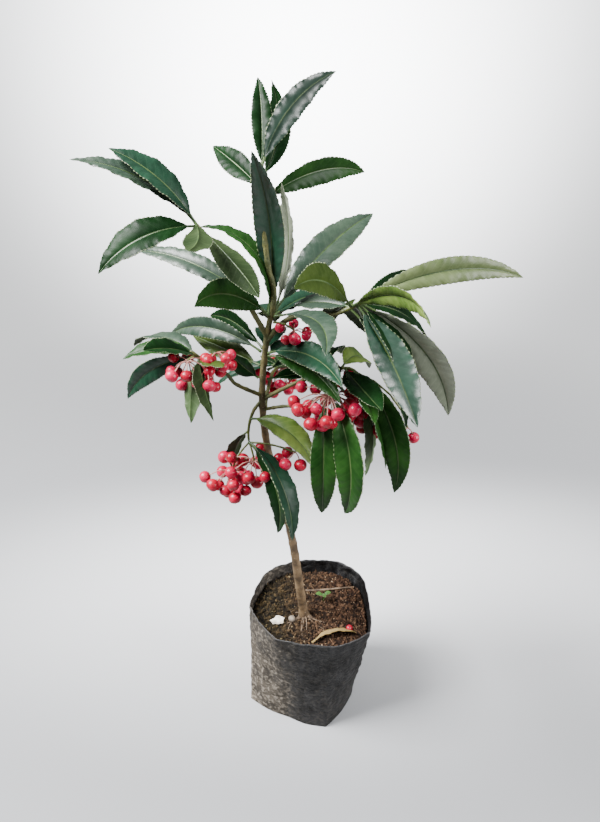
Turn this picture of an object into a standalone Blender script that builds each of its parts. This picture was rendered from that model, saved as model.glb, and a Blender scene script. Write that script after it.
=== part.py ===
"""Potted coralberry in a black nursery bag, modelled sub-part by sub-part at its real size.

Run with: blender --background --python part.py
Metres, +Z up. The origin is under the middle of the bag's rim, on the surface it stands on,
and -Y is the side that the photograph shows. Limbs, leaves and fruit are laid out below in
millimetres and degrees: heading 0 is +X, heading 90 is +Y, and rise 90 is straight up.
"""

import math
import random

import bmesh
import bpy
from mathutils import Matrix, Vector

MM = 0.001
GAP = 0.3  # clearance between neighbouring solids, mm
STEM_GAP = 0.55  # between a limb's end and its leaves' stem, so that it stays GAP where the limb bends

# Bag: height, film thickness and levels, then where its eight creases meet the foot and the rim, mm
BAG_HEIGHT = 100
BAG_WALL = 1.0
BAG_LEVELS = (0, 0.04, 0.3, 0.6, 0.85, 1)
BAG_FOOT = ((33, 18), (16, 38), (-18, 38), (-42, 22), (-51, -17), (-18, -35), (13, -44), (36, -14))
BAG_RIM = ((47, 23), (26, 48), (-16, 47), (-39, 32), (-50, -5), (-28, -39), (18, -46), (47, -32))
BAG_BOW = 2  # how far the film bows out between two creases
BAG_STEPS = 4  # points from one crease to the next
SOIL_TOP = 88

# Limbs: points that the middle of each limb runs through, mm, then its radius at foot and tip,
# then how far along it the limb ends and the stem of its own leaves begins
LIMBS = {
    "trunk": (
        ((-5, -5, SOIL_TOP - 2), (-10, -4.5, 130), (-14.5, -4, 168), (-23, -4, 215), (-31, -4, 250),
         (-34, -4, 290), (-30, -4, 332), (-24.5, -3.5, 362), (-28, -2, 381), (-31, 0, 418), (-30, 0, 437)),
        (3.6, 1.2), 330,
    ),
    "left_bough": (
        ((-29.5, -4, 335), (-38.5, -5, 353), (-48, -6, 373), (-57, -8, 390), (-68, -11, 407)), (1.8, 1.2), 75,
    ),
    "right_bough": (
        ((-29.5, -4, 332), (-20, -5, 344), (-8, -6, 350), (13, -12, 353), (37, -19, 368)), (1.8, 1.3), 57,
    ),
    "left_fruit_bough": (
        ((-33, -4, 292), (-50, -12, 305), (-55, -14, 313), (-66, -20, 324), (-75, -25, 334)), (1.4, 0.9), 43,
    ),
    "right_fruit_bough": (
        ((-33, -4, 290), (-18, -9, 301), (-4, -14, 310), (20, -17, 319), (31, -19, 312), (37, -21, 303)),
        (1.4, 0.9), 37,
    ),
    "berry_bough": (
        ((-33, -4, 282), (-20, -9, 287), (-8, -15, 291), (2, -20, 298), (11, -26, 308)), (1.2, 0.8), 46,
    ),
    "lower_bough": (
        ((-34, -4, 289), (-39, -7, 284), (-42, -10, 277), (-43.5, -12, 268), (-43, -14, 262)), (1.2, 0.8), 12,
    ),
    "rear_bough": (
        ((-33, -4, 278), (-31, 12, 288), (-28, 27, 294), (-24, 40, 294)), (1.4, 0.9), 36,
    ),
}
RING_SPACING = (9, 14)  # between a bough's rings, and between the trunk's
TRUNK_FLARE = 1.45  # the trunk's foot, as a multiple of its radius just above
FLARE_HEIGHT = 14

# Leaves that the photograph shows. Each row: how far along the limb it roots, mm; heading, rise at
# the root, rise at the tip, sideways sway and roll, degrees; length and width, mm
LEAVES = {
    "top_tuft": (
        (352, 31, 74, 18, -7, -98, 70, 16), (351, 85, 66, 41, 17, 6, 58, 12),
        (346, 53, 40, 50, 63, -29, 70, 15), (342, 125, 22, 14, 2, 43, 56, 15),
        (334, 25, 35, -20, 18, -98, 80, 16),
    ),
    "upper_whorl": (
        (266, 242, 112, 46, 11, 168, 105, 18), (270, 35, 62, 109, 5, 5, 77, 16),
        (268, 36, 47, 4, 19, -19, 108, 24), (266, 217, 47, -5, 43, 78, 78, 18),
        (266, 329, 22, -17, -70, -2, 79, 18), (264, 55, 15, -25, -5, 0, 72, 21),
        (266, 166, 43, -14, -26, 33, 110, 15), (269, 155, 105, -11, 11, 0, 77, 18),
        (264, 65, 0, -10, 0, 5, 60, 19),
    ),
    "middle_whorl": (
        (241, 323, 26, -17, -33, -34, 77, 17), (239, 328, 12, -30, -28, -30, 66, 16),
        (242, 128, 25, -21, -1, 79, 68, 14), (240, 154, 28, -36, -14, 67, 84, 14),
    ),
    "lower_whorl": (
        (228, 2, 30, 4, -8, -3, 44, 17), (230, 138, 4, 1, 2, 42, 67, 16),
        (221, 12, 8, -10, 0, -10, 46, 15), (222, 182, 37, 54, -2, 108, 26, 15),
    ),
    "left_whorl": (
        (84, 187, 64, 19, -18, 21, 61, 22), (82, 181, 54, 2, 3, 27, 76, 15),
        (80, 202, 7, -49, -9, 31, 65, 24), (84, 286, -6, 6, -22, 185, 60, 16),
        (78, 319, -26, -15, -27, -198, 67, 16),
    ),
    "right_whorl": (
        (64, 2, 34, -25, 24, -75, 118, 16), (60, 328, 40, -20, -55, 245, 82, 15),
        (66, 310, -35, -57, -6, -5, 82, 26), (68, 345, -21, -81, 38, -116, 104, 22),
        (66, 42, 14, -11, 12, -44, 74, 14), (62, 233, 50, -1, 16, 67, 81, 20),
        (62, 148, 4, -20, 0, 15, 42, 20),
        (65, 30, -5, -60, 0, -25, 78, 22), (67, 330, -30, -85, 0, -5, 76, 22),
        (61, 327, -33, -84, -5, 5, 86, 21),
    ),
    "left_fruit_spray": (
        (57, 138, 21, -41, 3, -5, 71, 20), (58, 235, 35, 15, 15, 25, 52, 16),
        (57, 178, 26, -29, 7, 10, 48, 17), (58, 172, -11, -60, -31, 96, 73, 14),
        (57, 280, -25, -50, 20, -135, 44, 14), (56, 255, -35, -85, 0, 165, 42, 14),
        (54, 295, 10, 20, 5, 5, 38, 13),
    ),
    "right_fruit_spray": (
        (40, 60, 40, -50, 10, 10, 56, 17), (60, 65, 15, -60, -10, -25, 52, 18),
        (60, 250, 35, 10, -5, -125, 26, 11), (62, 285, 0, 0, 5, 0, 58, 20),
        (62, 290, -5, -15, -10, 25, 56, 18), (70, 315, -23, -104, -3, -64, 90, 19),
        (69, 305, -40, -115, -10, -150, 78, 17), (68, 308, -36, -85, 5, 20, 68, 19),
    ),
    "berry_spray": (
        (50, 267, -35, -120, 5, -5, 90, 17), (53, 296, -15, -126, -12, -55, 95, 21),
    ),
    "lower_spray": (
        (15, 327, 22, -72, 6, -9, 61, 20), (33, 313, -1, -97, -14, 27, 81, 21),
        (33, 314, -18, -114, -7, -81, 76, 16),
    ),
    "rear_spray": (),
}

# Leaves on the side that the photograph doesn't show, dealt out by a seeded rule. Each row: how many,
# where they root along the limb, the span of headings, rise at root and tip, length
HIDDEN_LEAVES = {
    "top_tuft": (2, 338, (150, 250), 5, -30, 60),
    "upper_whorl": (2, 264, (85, 110), -5, -40, 72),
    "middle_whorl": (2, 238, (60, 95), 5, -30, 70),
    "lower_whorl": (2, 222, (70, 105), -15, -50, 64),
    "left_whorl": (3, 79, (40, 105), -20, -50, 70),
    "right_whorl": (2, 62, (60, 120), -15, -60, 72),
    "left_fruit_spray": (2, 52, (60, 105), -20, -50, 62),
    "right_fruit_spray": (2, 56, (80, 125), -15, -55, 62),
    "berry_spray": (0, 0, (0, 0), 0, 0, 0),
    "lower_spray": (1, 24, (100, 140), -40, -75, 58),
    "rear_spray": (6, 46, (-5, 185), 0, -50, 64),
}

# Fruit umbels. Each row: where the stalk roots along the limb; its heading, rise at root and tip and
# length; how many berries, the reach of their own stalks, a berry's radius, and the seed of the draw
UMBELS = {
    "upper_whorl": ((262, 337, 14, -38, 15, 4, 10, 3.3, 4),),
    "left_fruit_spray": (
        (58, 215, 10, -35, 7, 6, 15, 3.5, 5), (56, 310, -10, -45, 10, 4, 14, 3.5, 2),
        (50, 320, 55, 30, 14, 3, 9, 3.5, 6),
    ),
    "right_fruit_spray": (
        (71, 333, -50, -86, 26, 9, 17, 3.9, 12), (60, 255, 10, -20, 4, 1, 6, 3.9, 4),
        (70, 345, -15, -75, 52, 2, 8, 3.8, 6),
    ),
    "berry_spray": ((52, 285, 35, -10, 5, 14, 23, 3.9, 20),),
    "lower_spray": (
        (34, 195, -42, -75, 25, 9, 18, 4.1, 7), (34, 300, -40, -75, 13, 6, 16, 4.1, 3),
        (33, 335, 15, -10, 35, 2, 9, 4.0, 3),
    ),
    "rear_spray": ((50, 60, -20, -60, 6, 7, 18, 3.9, 4),),
}
BERRY_VARIES = 0.1  # a berry is up to this share larger or smaller
STALK_RADIUS = 0.7
BERRY_STALK_RADIUS = 0.5

# Which limb each mass of leaves sits on. A whorl round the trunk sits on a thin sleeve that spans
# the given stretch of it; the others carry on from their limb's tip.
SLEEVES = {"upper_whorl": (261.5, 272), "middle_whorl": (231.5, 243.5), "lower_whorl": (219, 231)}
TIPS = {
    "top_tuft": "trunk",
    "left_whorl": "left_bough",
    "right_whorl": "right_bough",
    "left_fruit_spray": "left_fruit_bough",
    "right_fruit_spray": "right_fruit_bough",
    "berry_spray": "berry_bough",
    "lower_spray": "lower_bough",
    "rear_spray": "rear_bough",
}
SLEEVE_WALL = 0.9

# Leaf blade: the share that is bare stalk, the fold along the midrib, and the thickness
LEAF_STALK = 0.09
LEAF_STALK_RADIUS = 0.75
LEAF_FOLD = 14
LEAF_THICKNESS = 1.1
LEAF_STEPS = 7
CLEAR_OF_LEAVES = 7  # a hidden leaf that comes this near another mass or limb is skipped, mm

COLOURS = {
    "bag": (0.020, 0.020, 0.022),
    "soil": (0.075, 0.042, 0.026),
    "bark": (0.200, 0.130, 0.085),
    "bough": (0.190, 0.210, 0.080),
    "leaf": (0.030, 0.090, 0.035),
}


# Directions and curves, all in millimetres


def heading(azimuth, rise):
    a, r = math.radians(azimuth), math.radians(rise)
    return Vector((math.cos(r) * math.cos(a), math.cos(r) * math.sin(a), math.sin(r)))


def smooth_line(points, per_span=8):
    """A Catmull-Rom curve through the points."""
    p = [Vector(q) for q in points]
    p = [2 * p[0] - p[1]] + p + [2 * p[-1] - p[-2]]
    line = []
    for a, b, c, d in zip(p, p[1:], p[2:], p[3:]):
        for k in range(per_span):
            t = k / per_span
            square = (2 * a - 5 * b + 4 * c - d) * t**2
            line.append(0.5 * (2 * b + (c - a) * t + square + (3 * b - a - 3 * c + d) * t**3))
    line.append(p[-2])
    return line


def line_length(line):
    return sum((b - a).length for a, b in zip(line, line[1:]))


def point_along(line, distance):
    """The point this far along the line, and the direction of the line there."""
    for a, b in zip(line, line[1:]):
        step = (b - a).length
        if distance <= step:
            return a.lerp(b, max(distance, 0) / step), (b - a).normalized()
        distance -= step
    return line[-1].copy(), (line[-1] - line[-2]).normalized()


def stretch_of(line, start, end, count):
    return [point_along(line, start + (end - start) * i / (count - 1))[0] for i in range(count)]


def arc(root, azimuth, rise, fall, sway, length, steps):
    """A shoot that leaves its root at one rise and bends evenly to another, swaying sideways."""
    points = [Vector(root)]
    for i in range(steps):
        s = (i + 0.5) / steps
        points.append(points[-1] + heading(azimuth + sway * s, rise + (fall - rise) * s) * (length / steps))
    return points


LINES = {name: smooth_line(points) for name, (points, radii, split) in LIMBS.items()}


def limb_radius(name, distance):
    foot, tip = LIMBS[name][1]
    share = distance / line_length(LINES[name])
    radius = foot + (tip - foot) * share
    if name == "trunk" and distance < FLARE_HEIGHT:
        radius *= 1 + (TRUNK_FLARE - 1) * (1 - distance / FLARE_HEIGHT) ** 2
    return radius


# Materials and mesh helpers


def material(name, colour, roughness, metallic=0.0):
    made = bpy.data.materials.new(name)
    made.use_nodes = True
    shader = made.node_tree.nodes["Principled BSDF"]
    shader.inputs["Base Color"].default_value = (*colour, 1)
    shader.inputs["Roughness"].default_value = roughness
    shader.inputs["Metallic"].default_value = metallic
    return made


def object_from(bm, name, collection):
    """Closes a bmesh off as an object, with its points brought from millimetres to metres."""
    bmesh.ops.scale(bm, vec=(MM, MM, MM), verts=bm.verts)
    bmesh.ops.recalc_face_normals(bm, faces=bm.faces)
    mesh = bpy.data.meshes.new(name)
    bm.to_mesh(mesh)
    bm.free()
    made = bpy.data.objects.new(name, mesh)
    collection.objects.link(made)
    return made


def skin_rings(bm, rings):
    """Faces between rings of the same count, capped at both ends; a ring of one point is a tip."""
    made = [[bm.verts.new(point) for point in ring] for ring in rings]
    for below, above in zip(made, made[1:]):
        count = max(len(below), len(above))
        for i in range(count):
            j = (i + 1) % count
            corners = [below[i % len(below)], below[j % len(below)]]
            corners += [above[j % len(above)], above[i % len(above)]]
            bm.faces.new(list(dict.fromkeys(corners)))
    for end in (made[0], made[-1]):
        if len(end) > 2:
            bm.faces.new(end)


def tube(name, path, radii, collection, sides_level=2):
    """A tapering tube along the path, from a curve with a round bevel, made a closed mesh."""
    curve = bpy.data.curves.new(name, "CURVE")
    curve.dimensions = "3D"
    curve.bevel_depth = MM
    curve.bevel_resolution = sides_level
    curve.use_fill_caps = True
    spline = curve.splines.new("POLY")
    spline.points.add(len(path) - 1)
    for target, point, radius in zip(spline.points, path, radii):
        target.co = (*(point * MM), 1)
        target.radius = radius
    guide = bpy.data.objects.new(name + "_guide", curve)
    collection.objects.link(guide)
    bpy.context.view_layer.update()
    mesh = bpy.data.meshes.new_from_object(guide.evaluated_get(bpy.context.evaluated_depsgraph_get()))
    bm = bmesh.new()
    bm.from_mesh(mesh)
    bmesh.ops.remove_doubles(bm, verts=bm.verts, dist=0.00001)
    bmesh.ops.recalc_face_normals(bm, faces=bm.faces)
    bm.to_mesh(mesh)
    bm.free()
    made = bpy.data.objects.new(name, mesh)
    made.matrix_world = guide.matrix_world
    collection.objects.link(made)
    bpy.data.objects.remove(guide)
    bpy.data.curves.remove(curve)
    return made


def apply_boolean(target, operation, operand, solver="EXACT"):
    """Applies one Boolean by an object or a collection, and keeps the result as a plain mesh."""
    boolean = target.modifiers.new("boolean", "BOOLEAN")
    boolean.operation = operation
    boolean.solver = solver
    if isinstance(operand, bpy.types.Collection):
        boolean.operand_type = "COLLECTION"
        boolean.collection = operand
    else:
        boolean.object = operand
    bpy.context.view_layer.update()
    result = bpy.data.meshes.new_from_object(target.evaluated_get(bpy.context.evaluated_depsgraph_get()))
    target.modifiers.remove(boolean)
    old = target.data
    target.data = result
    bpy.data.meshes.remove(old)


def keep_main_body(made):
    """Drops loose scraps that a union leaves, and fills any hollow that it sealed."""
    bm = bmesh.new()
    bm.from_mesh(made.data)
    left = set(bm.verts)
    bodies = []
    while left:
        body = set()
        front = [left.pop()]
        while front:
            vert = front.pop()
            body.add(vert)
            for edge in vert.link_edges:
                other = edge.other_vert(vert)
                if other in left:
                    left.remove(other)
                    front.append(other)
        bodies.append(body)
    bodies.sort(key=len)
    for scrap in bodies[:-1]:
        bmesh.ops.delete(bm, geom=list(scrap), context="VERTS")
    bm.to_mesh(made.data)
    bm.free()


def finish(made, look, collection):
    """Gives an object its one material and smooth shading, and leaves it in the plant's collection."""
    made.data.materials.clear()
    made.data.materials.append(look)
    made.data.shade_smooth()
    made.data.set_sharp_from_angle(angle=math.radians(40))
    if made.name not in collection.objects:
        collection.objects.link(made)
    for other in made.users_collection:
        if other is not collection:
            other.objects.unlink(made)


# Bag and soil


def bag_ring(share, inset, height):
    """One level of the bag's outline: share 0 is the foot and 1 the rim."""
    pairs = zip(BAG_FOOT, BAG_RIM)
    creases = [Vector((*foot, height)).lerp(Vector((*rim, height)), share) for foot, rim in pairs]
    middle = sum(creases, Vector()) / len(creases)
    ring = []
    for a, b in zip(creases, creases[1:] + creases[:1]):
        outward = Vector((b.y - a.y, a.x - b.x, 0)).normalized()
        for i in range(BAG_STEPS):
            point = a.lerp(b, i / BAG_STEPS) + outward * BAG_BOW * math.sin(math.pi * i / BAG_STEPS)
            ring.append(point - (point - middle).normalized() * inset)
    return ring


def make_bag(collection, look):
    """An open skin of film, turned into a wall by Solidify."""
    bm = bmesh.new()
    skin_rings(bm, [bag_ring(share, 0, share * BAG_HEIGHT) for share in BAG_LEVELS])
    bm.faces.ensure_lookup_table()
    bmesh.ops.delete(bm, geom=[bm.faces[-1]], context="FACES_ONLY")
    bag = object_from(bm, "grow_bag", collection)
    wall = bag.modifiers.new("film", "SOLIDIFY")
    wall.thickness = BAG_WALL * MM
    wall.offset = -1
    finish(bag, look, collection)


def make_soil(collection, look):
    """Potting compost that fills the bag to a little under its rim."""
    inset = BAG_WALL + 3 * GAP
    low = BAG_WALL + GAP
    bm = bmesh.new()
    levels = [low + (SOIL_TOP - low) * i / 4 for i in range(5)]
    skin_rings(bm, [bag_ring(level / BAG_HEIGHT, inset, level) for level in levels])
    soil = object_from(bm, "potting_soil", collection)
    finish(soil, look, collection)


# Limbs


def limb_rings(name, spare=0):
    """The middles and radii of a limb's rings, from its foot to where its leaves' own stem begins."""
    split = LIMBS[name][2]
    count = max(3, round(split / RING_SPACING[name == "trunk"]) + 1)
    path = stretch_of(LINES[name], 0, split, count)
    return path, [limb_radius(name, split * i / (count - 1)) + spare for i in range(count)]


def make_limb(name, collection, cutters, look):
    """The limb, its foot cut clear of the trunk."""
    path, radii = limb_rings(name)
    limb = tube(name, path, radii, collection, 3 if name == "trunk" else 2)
    if name == "trunk":
        cut_flat(limb, SOIL_TOP + GAP)
    else:
        apply_boolean(limb, "DIFFERENCE", cutters["trunk_clearance"])
    finish(limb, look, collection)


def cut_flat(limb, height):
    """Cuts off what lies under this height, and closes the limb with a level face."""
    bm = bmesh.new()
    bm.from_mesh(limb.data)
    everything = bm.verts[:] + bm.edges[:] + bm.faces[:]
    level = Vector((0, 0, height * MM))
    cut = bmesh.ops.bisect_plane(bm, geom=everything, plane_co=level, plane_no=(0, 0, 1), clear_inner=True)
    rim = [part for part in cut["geom_cut"] if isinstance(part, bmesh.types.BMEdge)]
    bmesh.ops.holes_fill(bm, edges=rim)
    bm.to_mesh(limb.data)
    bm.free()


def make_trunk_clearance(cutters):
    """The trunk with the clearance added all round, to cut its neighbours by."""
    path, radii = limb_rings("trunk", GAP)
    cutter = tube("trunk_clearance", path, radii, cutters, 3)
    cutter.hide_render = True
    cutter.display_type = "WIRE"
    return cutter


# Leaves and fruit


def leaf_width(share):
    """Half the blade's width along the leaf, as a share of its widest: wedge foot, drawn-out tip."""
    blade = (share - LEAF_STALK) / (1 - LEAF_STALK)
    return math.sin(math.pi * blade**0.9) ** 0.85 if 0 < blade < 1 else 0


def leaf_frame(azimuth, rise, roll):
    """Directions along the leaf, across it and out of its upper face."""
    along = heading(azimuth, rise)
    across = Vector((math.sin(math.radians(azimuth)), -math.cos(math.radians(azimuth)), 0))
    upward = across.cross(along)
    turn = Matrix.Rotation(math.radians(-roll), 3, along)
    return along, turn @ across, turn @ upward


def add_leaf(name, root, leaf, collection):
    """A thin lens that follows its arc, folded up along the midrib, with its stalk sunk in the stem."""
    azimuth, rise, fall, sway, roll, length, width = leaf
    midrib = arc(root, azimuth, rise, fall, sway, length, LEAF_STEPS)
    rings = []
    for i, point in enumerate(midrib[:-1]):
        share = i / LEAF_STEPS
        along, across, upward = leaf_frame(azimuth + sway * share, rise + (fall - rise) * share, roll)
        half = max(width / 2 * leaf_width(share), LEAF_STALK_RADIUS)
        lift = half * math.sin(math.radians(LEAF_FOLD)) if half > LEAF_STALK_RADIUS else 0
        spread = half * math.cos(math.radians(LEAF_FOLD))
        thick = LEAF_THICKNESS / 2 if i else LEAF_STALK_RADIUS
        rings.append([
            point + across * spread + upward * lift,
            point + upward * thick,
            point - across * spread + upward * lift,
            point - upward * thick,
        ])
    rings.append([midrib[-1]])
    bm = bmesh.new()
    skin_rings(bm, rings)
    return object_from(bm, name, collection)


def hidden_leaves(mass):
    """Rows like those in LEAVES, spread over the far side's headings with a little seeded scatter."""
    count, along, (start, end), rise, fall, length = HIDDEN_LEAVES[mass]
    draw = random.Random(mass)
    rows = []
    for i in range(count):
        azimuth = start + (end - start) * (i + 0.5) / count + draw.uniform(-8, 8)
        size = length * draw.uniform(0.85, 1.1)
        rows.append((
            along + 2 * (i % 3), azimuth, rise + draw.uniform(-8, 8), fall + draw.uniform(-10, 10),
            draw.uniform(-12, 12), draw.uniform(-15, 15), size, size * 0.3,
        ))
    return rows


def root_of(mass, along, azimuth, rise):
    """Where a shoot roots: on the sleeve's wall, or on the middle of the stem past its limb's tip."""
    if mass in SLEEVES:
        point, tangent = point_along(LINES["trunk"], along)
        flat = heading(azimuth, min(rise, 60))
        out = (flat - tangent * flat.dot(tangent)).normalized()
        return point + out * (limb_radius("trunk", along) + GAP + SLEEVE_WALL / 2)
    return point_along(LINES[TIPS[mass]], along)[0]


def leaves_of(mass):
    """(root, leaf) for each leaf of the mass, the photograph's first and then the hidden ones."""
    made = []
    for along, *leaf in LEAVES[mass]:
        made.append((root_of(mass, along, leaf[0], leaf[1]), leaf))
    shown = [point for other in LEAVES if other != mass for point in outline_of(other)]
    for along, *leaf in hidden_leaves(mass):
        root = root_of(mass, along, leaf[0], leaf[1])
        if keeps_clear(leaf_points(root, leaf)[2:], shown):
            made.append((root, leaf))
    return made


def leaf_points(root, leaf):
    """Points down the middle and along both edges of a leaf, to measure clearances by."""
    azimuth, rise, fall, sway, roll, length, width = leaf
    points = []
    for i, point in enumerate(arc(root, azimuth, rise, fall, sway, length, 8)):
        share = i / 8
        across = leaf_frame(azimuth + sway * share, rise + (fall - rise) * share, roll)[1]
        half = width / 2 * leaf_width(share)
        points += [point, point + across * half, point - across * half]
    return points


def outline_of(mass):
    """Points on the shown leaves of a mass, and on the limb it sits on."""
    limb = TIPS.get(mass, "trunk")
    points = list(LINES[limb])
    for along, *leaf in LEAVES[mass]:
        points += leaf_points(root_of(mass, along, leaf[0], leaf[1]), leaf)
    return points


def keeps_clear(points, others):
    return all((point - other).length > CLEAR_OF_LEAVES for point in points[6:] for other in others)


def berries_of(umbel_root, azimuth, count, reach, berry, seed):
    """(path of its stalk, radius) for each berry: stalks fan out and droop, and berries don't touch."""
    draw = random.Random(seed)
    made = []
    for attempt in range(count * 30):
        if len(made) == count:
            break
        share = math.sqrt((attempt % count + 0.5) / count)
        turn = azimuth + 137.5 * attempt + draw.uniform(-20, 20)
        start = 15 - 95 * (1 - share) + draw.uniform(-12, 12)
        length = reach * draw.uniform(0.8, 1) * (1 - 0.35 * share)
        radius = berry * draw.uniform(1 - BERRY_VARIES, 1 + BERRY_VARIES)
        path = arc(umbel_root, turn, start, max(start - 60, -90), 0, length, 2)
        if all((path[-1] - other[-1]).length > radius + size + 0.3 for other, size in made):
            made.append((path, radius))
    return made


def add_umbel(name, mass, umbel, collection):
    """A stalk with a fan of berries, each on a stalk of its own."""
    along, azimuth, rise, fall, length, count, reach, berry, seed = umbel
    stalk = arc(root_of(mass, along, azimuth, rise), azimuth, rise, fall, 0, length, 4)
    tube(name + "_stalk", stalk, [STALK_RADIUS] * 5, collection, 1)
    for i, (path, radius) in enumerate(berries_of(stalk[-1], azimuth, count, reach, berry, seed)):
        tube(f"{name}_berry_stalk_{i}", path, [BERRY_STALK_RADIUS] * 3, collection, 0)
        bm = bmesh.new()
        place = Matrix.Translation(path[-1] + (path[-1] - path[-2]).normalized() * radius * 0.8)
        bmesh.ops.create_uvsphere(bm, u_segments=7, v_segments=4, radius=radius, matrix=place)
        object_from(bm, f"{name}_berry_{i}", collection)


def make_stem(mass, collection):
    """What a mass's leaves root in: a sleeve round the trunk, or a stem that carries on from its limb."""
    if mass in SLEEVES:
        start, end = SLEEVES[mass]
        path = stretch_of(LINES["trunk"], start, end, 4)
        radius = limb_radius("trunk", start) + GAP + SLEEVE_WALL
        return tube(mass, path, [radius] * 4, collection, 3)
    limb = TIPS[mass]
    start = LIMBS[limb][2] + STEM_GAP
    end = line_length(LINES[limb])
    count = max(3, round((end - start) / 6) + 1)
    path = stretch_of(LINES[limb], start, end, count)
    radii = [limb_radius(limb, start + (end - start) * i / (count - 1)) for i in range(count)]
    radii[-1] *= 0.7
    return tube(mass, path, radii, collection)


def make_mass(mass, collection, cutters, look):
    """One mass: its stem, with every leaf and fruit fused on by one union."""
    shoots = bpy.data.collections.new(mass + "_shoots")
    bpy.context.scene.collection.children.link(shoots)
    stem = make_stem(mass, collection)
    for i, (root, leaf) in enumerate(leaves_of(mass)):
        add_leaf(f"{mass}_leaf_{i}", root, leaf, shoots)
    for i, umbel in enumerate(UMBELS.get(mass, ())):
        add_umbel(f"{mass}_umbel_{i}", mass, umbel, shoots)
    # EXACT loses parts of a whorl, where many leaf stalks meet in one spot
    apply_boolean(stem, "UNION", shoots, solver="MANIFOLD")
    if mass in SLEEVES:
        apply_boolean(stem, "DIFFERENCE", cutters["trunk_clearance"], solver="MANIFOLD")
    keep_main_body(stem)
    for shoot in list(shoots.objects):
        bpy.data.objects.remove(shoot)
    bpy.data.collections.remove(shoots)
    finish(stem, look, collection)


def main():
    for old in list(bpy.data.objects):
        bpy.data.objects.remove(old)
    plant = bpy.data.collections.new("potted_coralberry")
    cutter_collection = bpy.data.collections.new("cutters")
    for made in (plant, cutter_collection):
        bpy.context.scene.collection.children.link(made)
    bark = material("bark", COLOURS["bark"], 0.8)
    green_bough = material("bough", COLOURS["bough"], 0.6)
    leaf = material("leaf", COLOURS["leaf"], 0.4)
    make_bag(plant, material("bag", COLOURS["bag"], 0.45))
    make_soil(plant, material("soil", COLOURS["soil"], 0.95))
    cutters = {"trunk_clearance": make_trunk_clearance(cutter_collection)}
    for name in LIMBS:
        make_limb(name, plant, cutters, bark if name == "trunk" else green_bough)
    for mass in LEAVES:
        make_mass(mass, plant, cutters, leaf)


main()
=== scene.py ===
# %% [markdown]
# # A potted coralberry in a black nursery bag
#
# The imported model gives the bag, the compost, the trunk, the boughs and the masses of leaves as plain
# solids in metres. This lesson dresses each of them: it grows finer leaves, stalks and berries by the
# model's own rule, and gives every surface a finish. The model's box is kept, to compare with at the end.

# %% Load the model
import math
import random

import bmesh
import bpy
import numpy as np
from mathutils import Matrix, Vector, noise


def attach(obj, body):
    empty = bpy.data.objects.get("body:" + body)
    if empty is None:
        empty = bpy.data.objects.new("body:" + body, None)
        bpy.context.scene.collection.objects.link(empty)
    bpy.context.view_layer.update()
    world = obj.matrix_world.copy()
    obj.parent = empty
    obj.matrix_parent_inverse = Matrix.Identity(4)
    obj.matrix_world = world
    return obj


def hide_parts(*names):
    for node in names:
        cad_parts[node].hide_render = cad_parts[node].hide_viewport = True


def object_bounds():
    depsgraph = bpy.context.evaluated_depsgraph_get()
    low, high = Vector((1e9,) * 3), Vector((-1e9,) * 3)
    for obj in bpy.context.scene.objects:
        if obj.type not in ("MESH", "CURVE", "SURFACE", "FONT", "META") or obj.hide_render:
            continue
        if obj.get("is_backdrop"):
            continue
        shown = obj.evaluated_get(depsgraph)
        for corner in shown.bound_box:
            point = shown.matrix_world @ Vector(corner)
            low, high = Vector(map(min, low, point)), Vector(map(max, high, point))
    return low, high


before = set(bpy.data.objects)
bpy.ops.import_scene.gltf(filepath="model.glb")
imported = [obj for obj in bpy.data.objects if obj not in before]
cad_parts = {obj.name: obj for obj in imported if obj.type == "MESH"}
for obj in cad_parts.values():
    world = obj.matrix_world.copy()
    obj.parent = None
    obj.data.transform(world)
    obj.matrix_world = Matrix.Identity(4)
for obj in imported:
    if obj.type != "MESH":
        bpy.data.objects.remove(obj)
cad_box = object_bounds()
scene = bpy.context.scene
print("the model has", len(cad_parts), "nodes")

# %% [markdown]
# ## Camera
#
# The photographer stood close and a little above the plant, looking down by about 29 degrees. A wide
# lens that close is what makes the bag look narrower towards its foot. The lens could be found by
# trial, but here it comes from the way the bag's rim and corners lie in the picture.

# %% Camera
LENS, SENSOR = 27.72, 36  # mm
CAMERA_PLACE = (-0.0086, -0.377, 0.49)  # metres
CAMERA_TILT = 29.3  # degrees below level


def new_object(name, data):
    """An object in the scene that holds this data."""
    made = bpy.data.objects.new(name, data)
    scene.collection.objects.link(made)
    return made


camera_data = bpy.data.cameras.new("camera")
camera_data.lens = LENS
camera_data.sensor_width = SENSOR
camera = new_object("camera", camera_data)
camera.location = CAMERA_PLACE
camera.rotation_euler = (math.radians(90 - CAMERA_TILT), 0, 0)
scene.camera = camera
print("camera lens", camera_data.lens, "mm")

# %% [markdown]
# ## Building node trees
#
# Every material here is a tree of nodes. Adding nodes one by one by hand is slow to write and hard to
# read, so one short helper adds a node, sets its inputs and links them, all in one line. The others
# do the same for the few kinds of node that come up again and again.

# %% Node helpers
def feed(tree, socket, value):
    """Links another node's output to the socket, or sets the socket to a plain value."""
    if isinstance(value, bpy.types.NodeSocket):
        tree.links.new(value, socket)
    else:
        socket.default_value = value


def add(tree, kind, inputs=None, **properties):
    """One node. Properties are set on the node, and inputs are values or other nodes' outputs."""
    made = tree.nodes.new(kind)
    for title, value in properties.items():
        setattr(made, title, value)
    for title, value in (inputs or {}).items():
        feed(tree, made.inputs[title], value)
    return made


def sum_of(tree, operation, *values):
    """The output of one Math node."""
    return add(tree, "ShaderNodeMath", dict(enumerate(values)), operation=operation).outputs[0]


def vector_math(tree, operation, *values):
    """The outputs of one Vector Math node, called Vector and Value."""
    return add(tree, "ShaderNodeVectorMath", dict(enumerate(values)), operation=operation).outputs


def parts_of(tree, vector):
    """A vector's X, Y and Z."""
    return add(tree, "ShaderNodeSeparateXYZ", {"Vector": vector}).outputs


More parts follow.
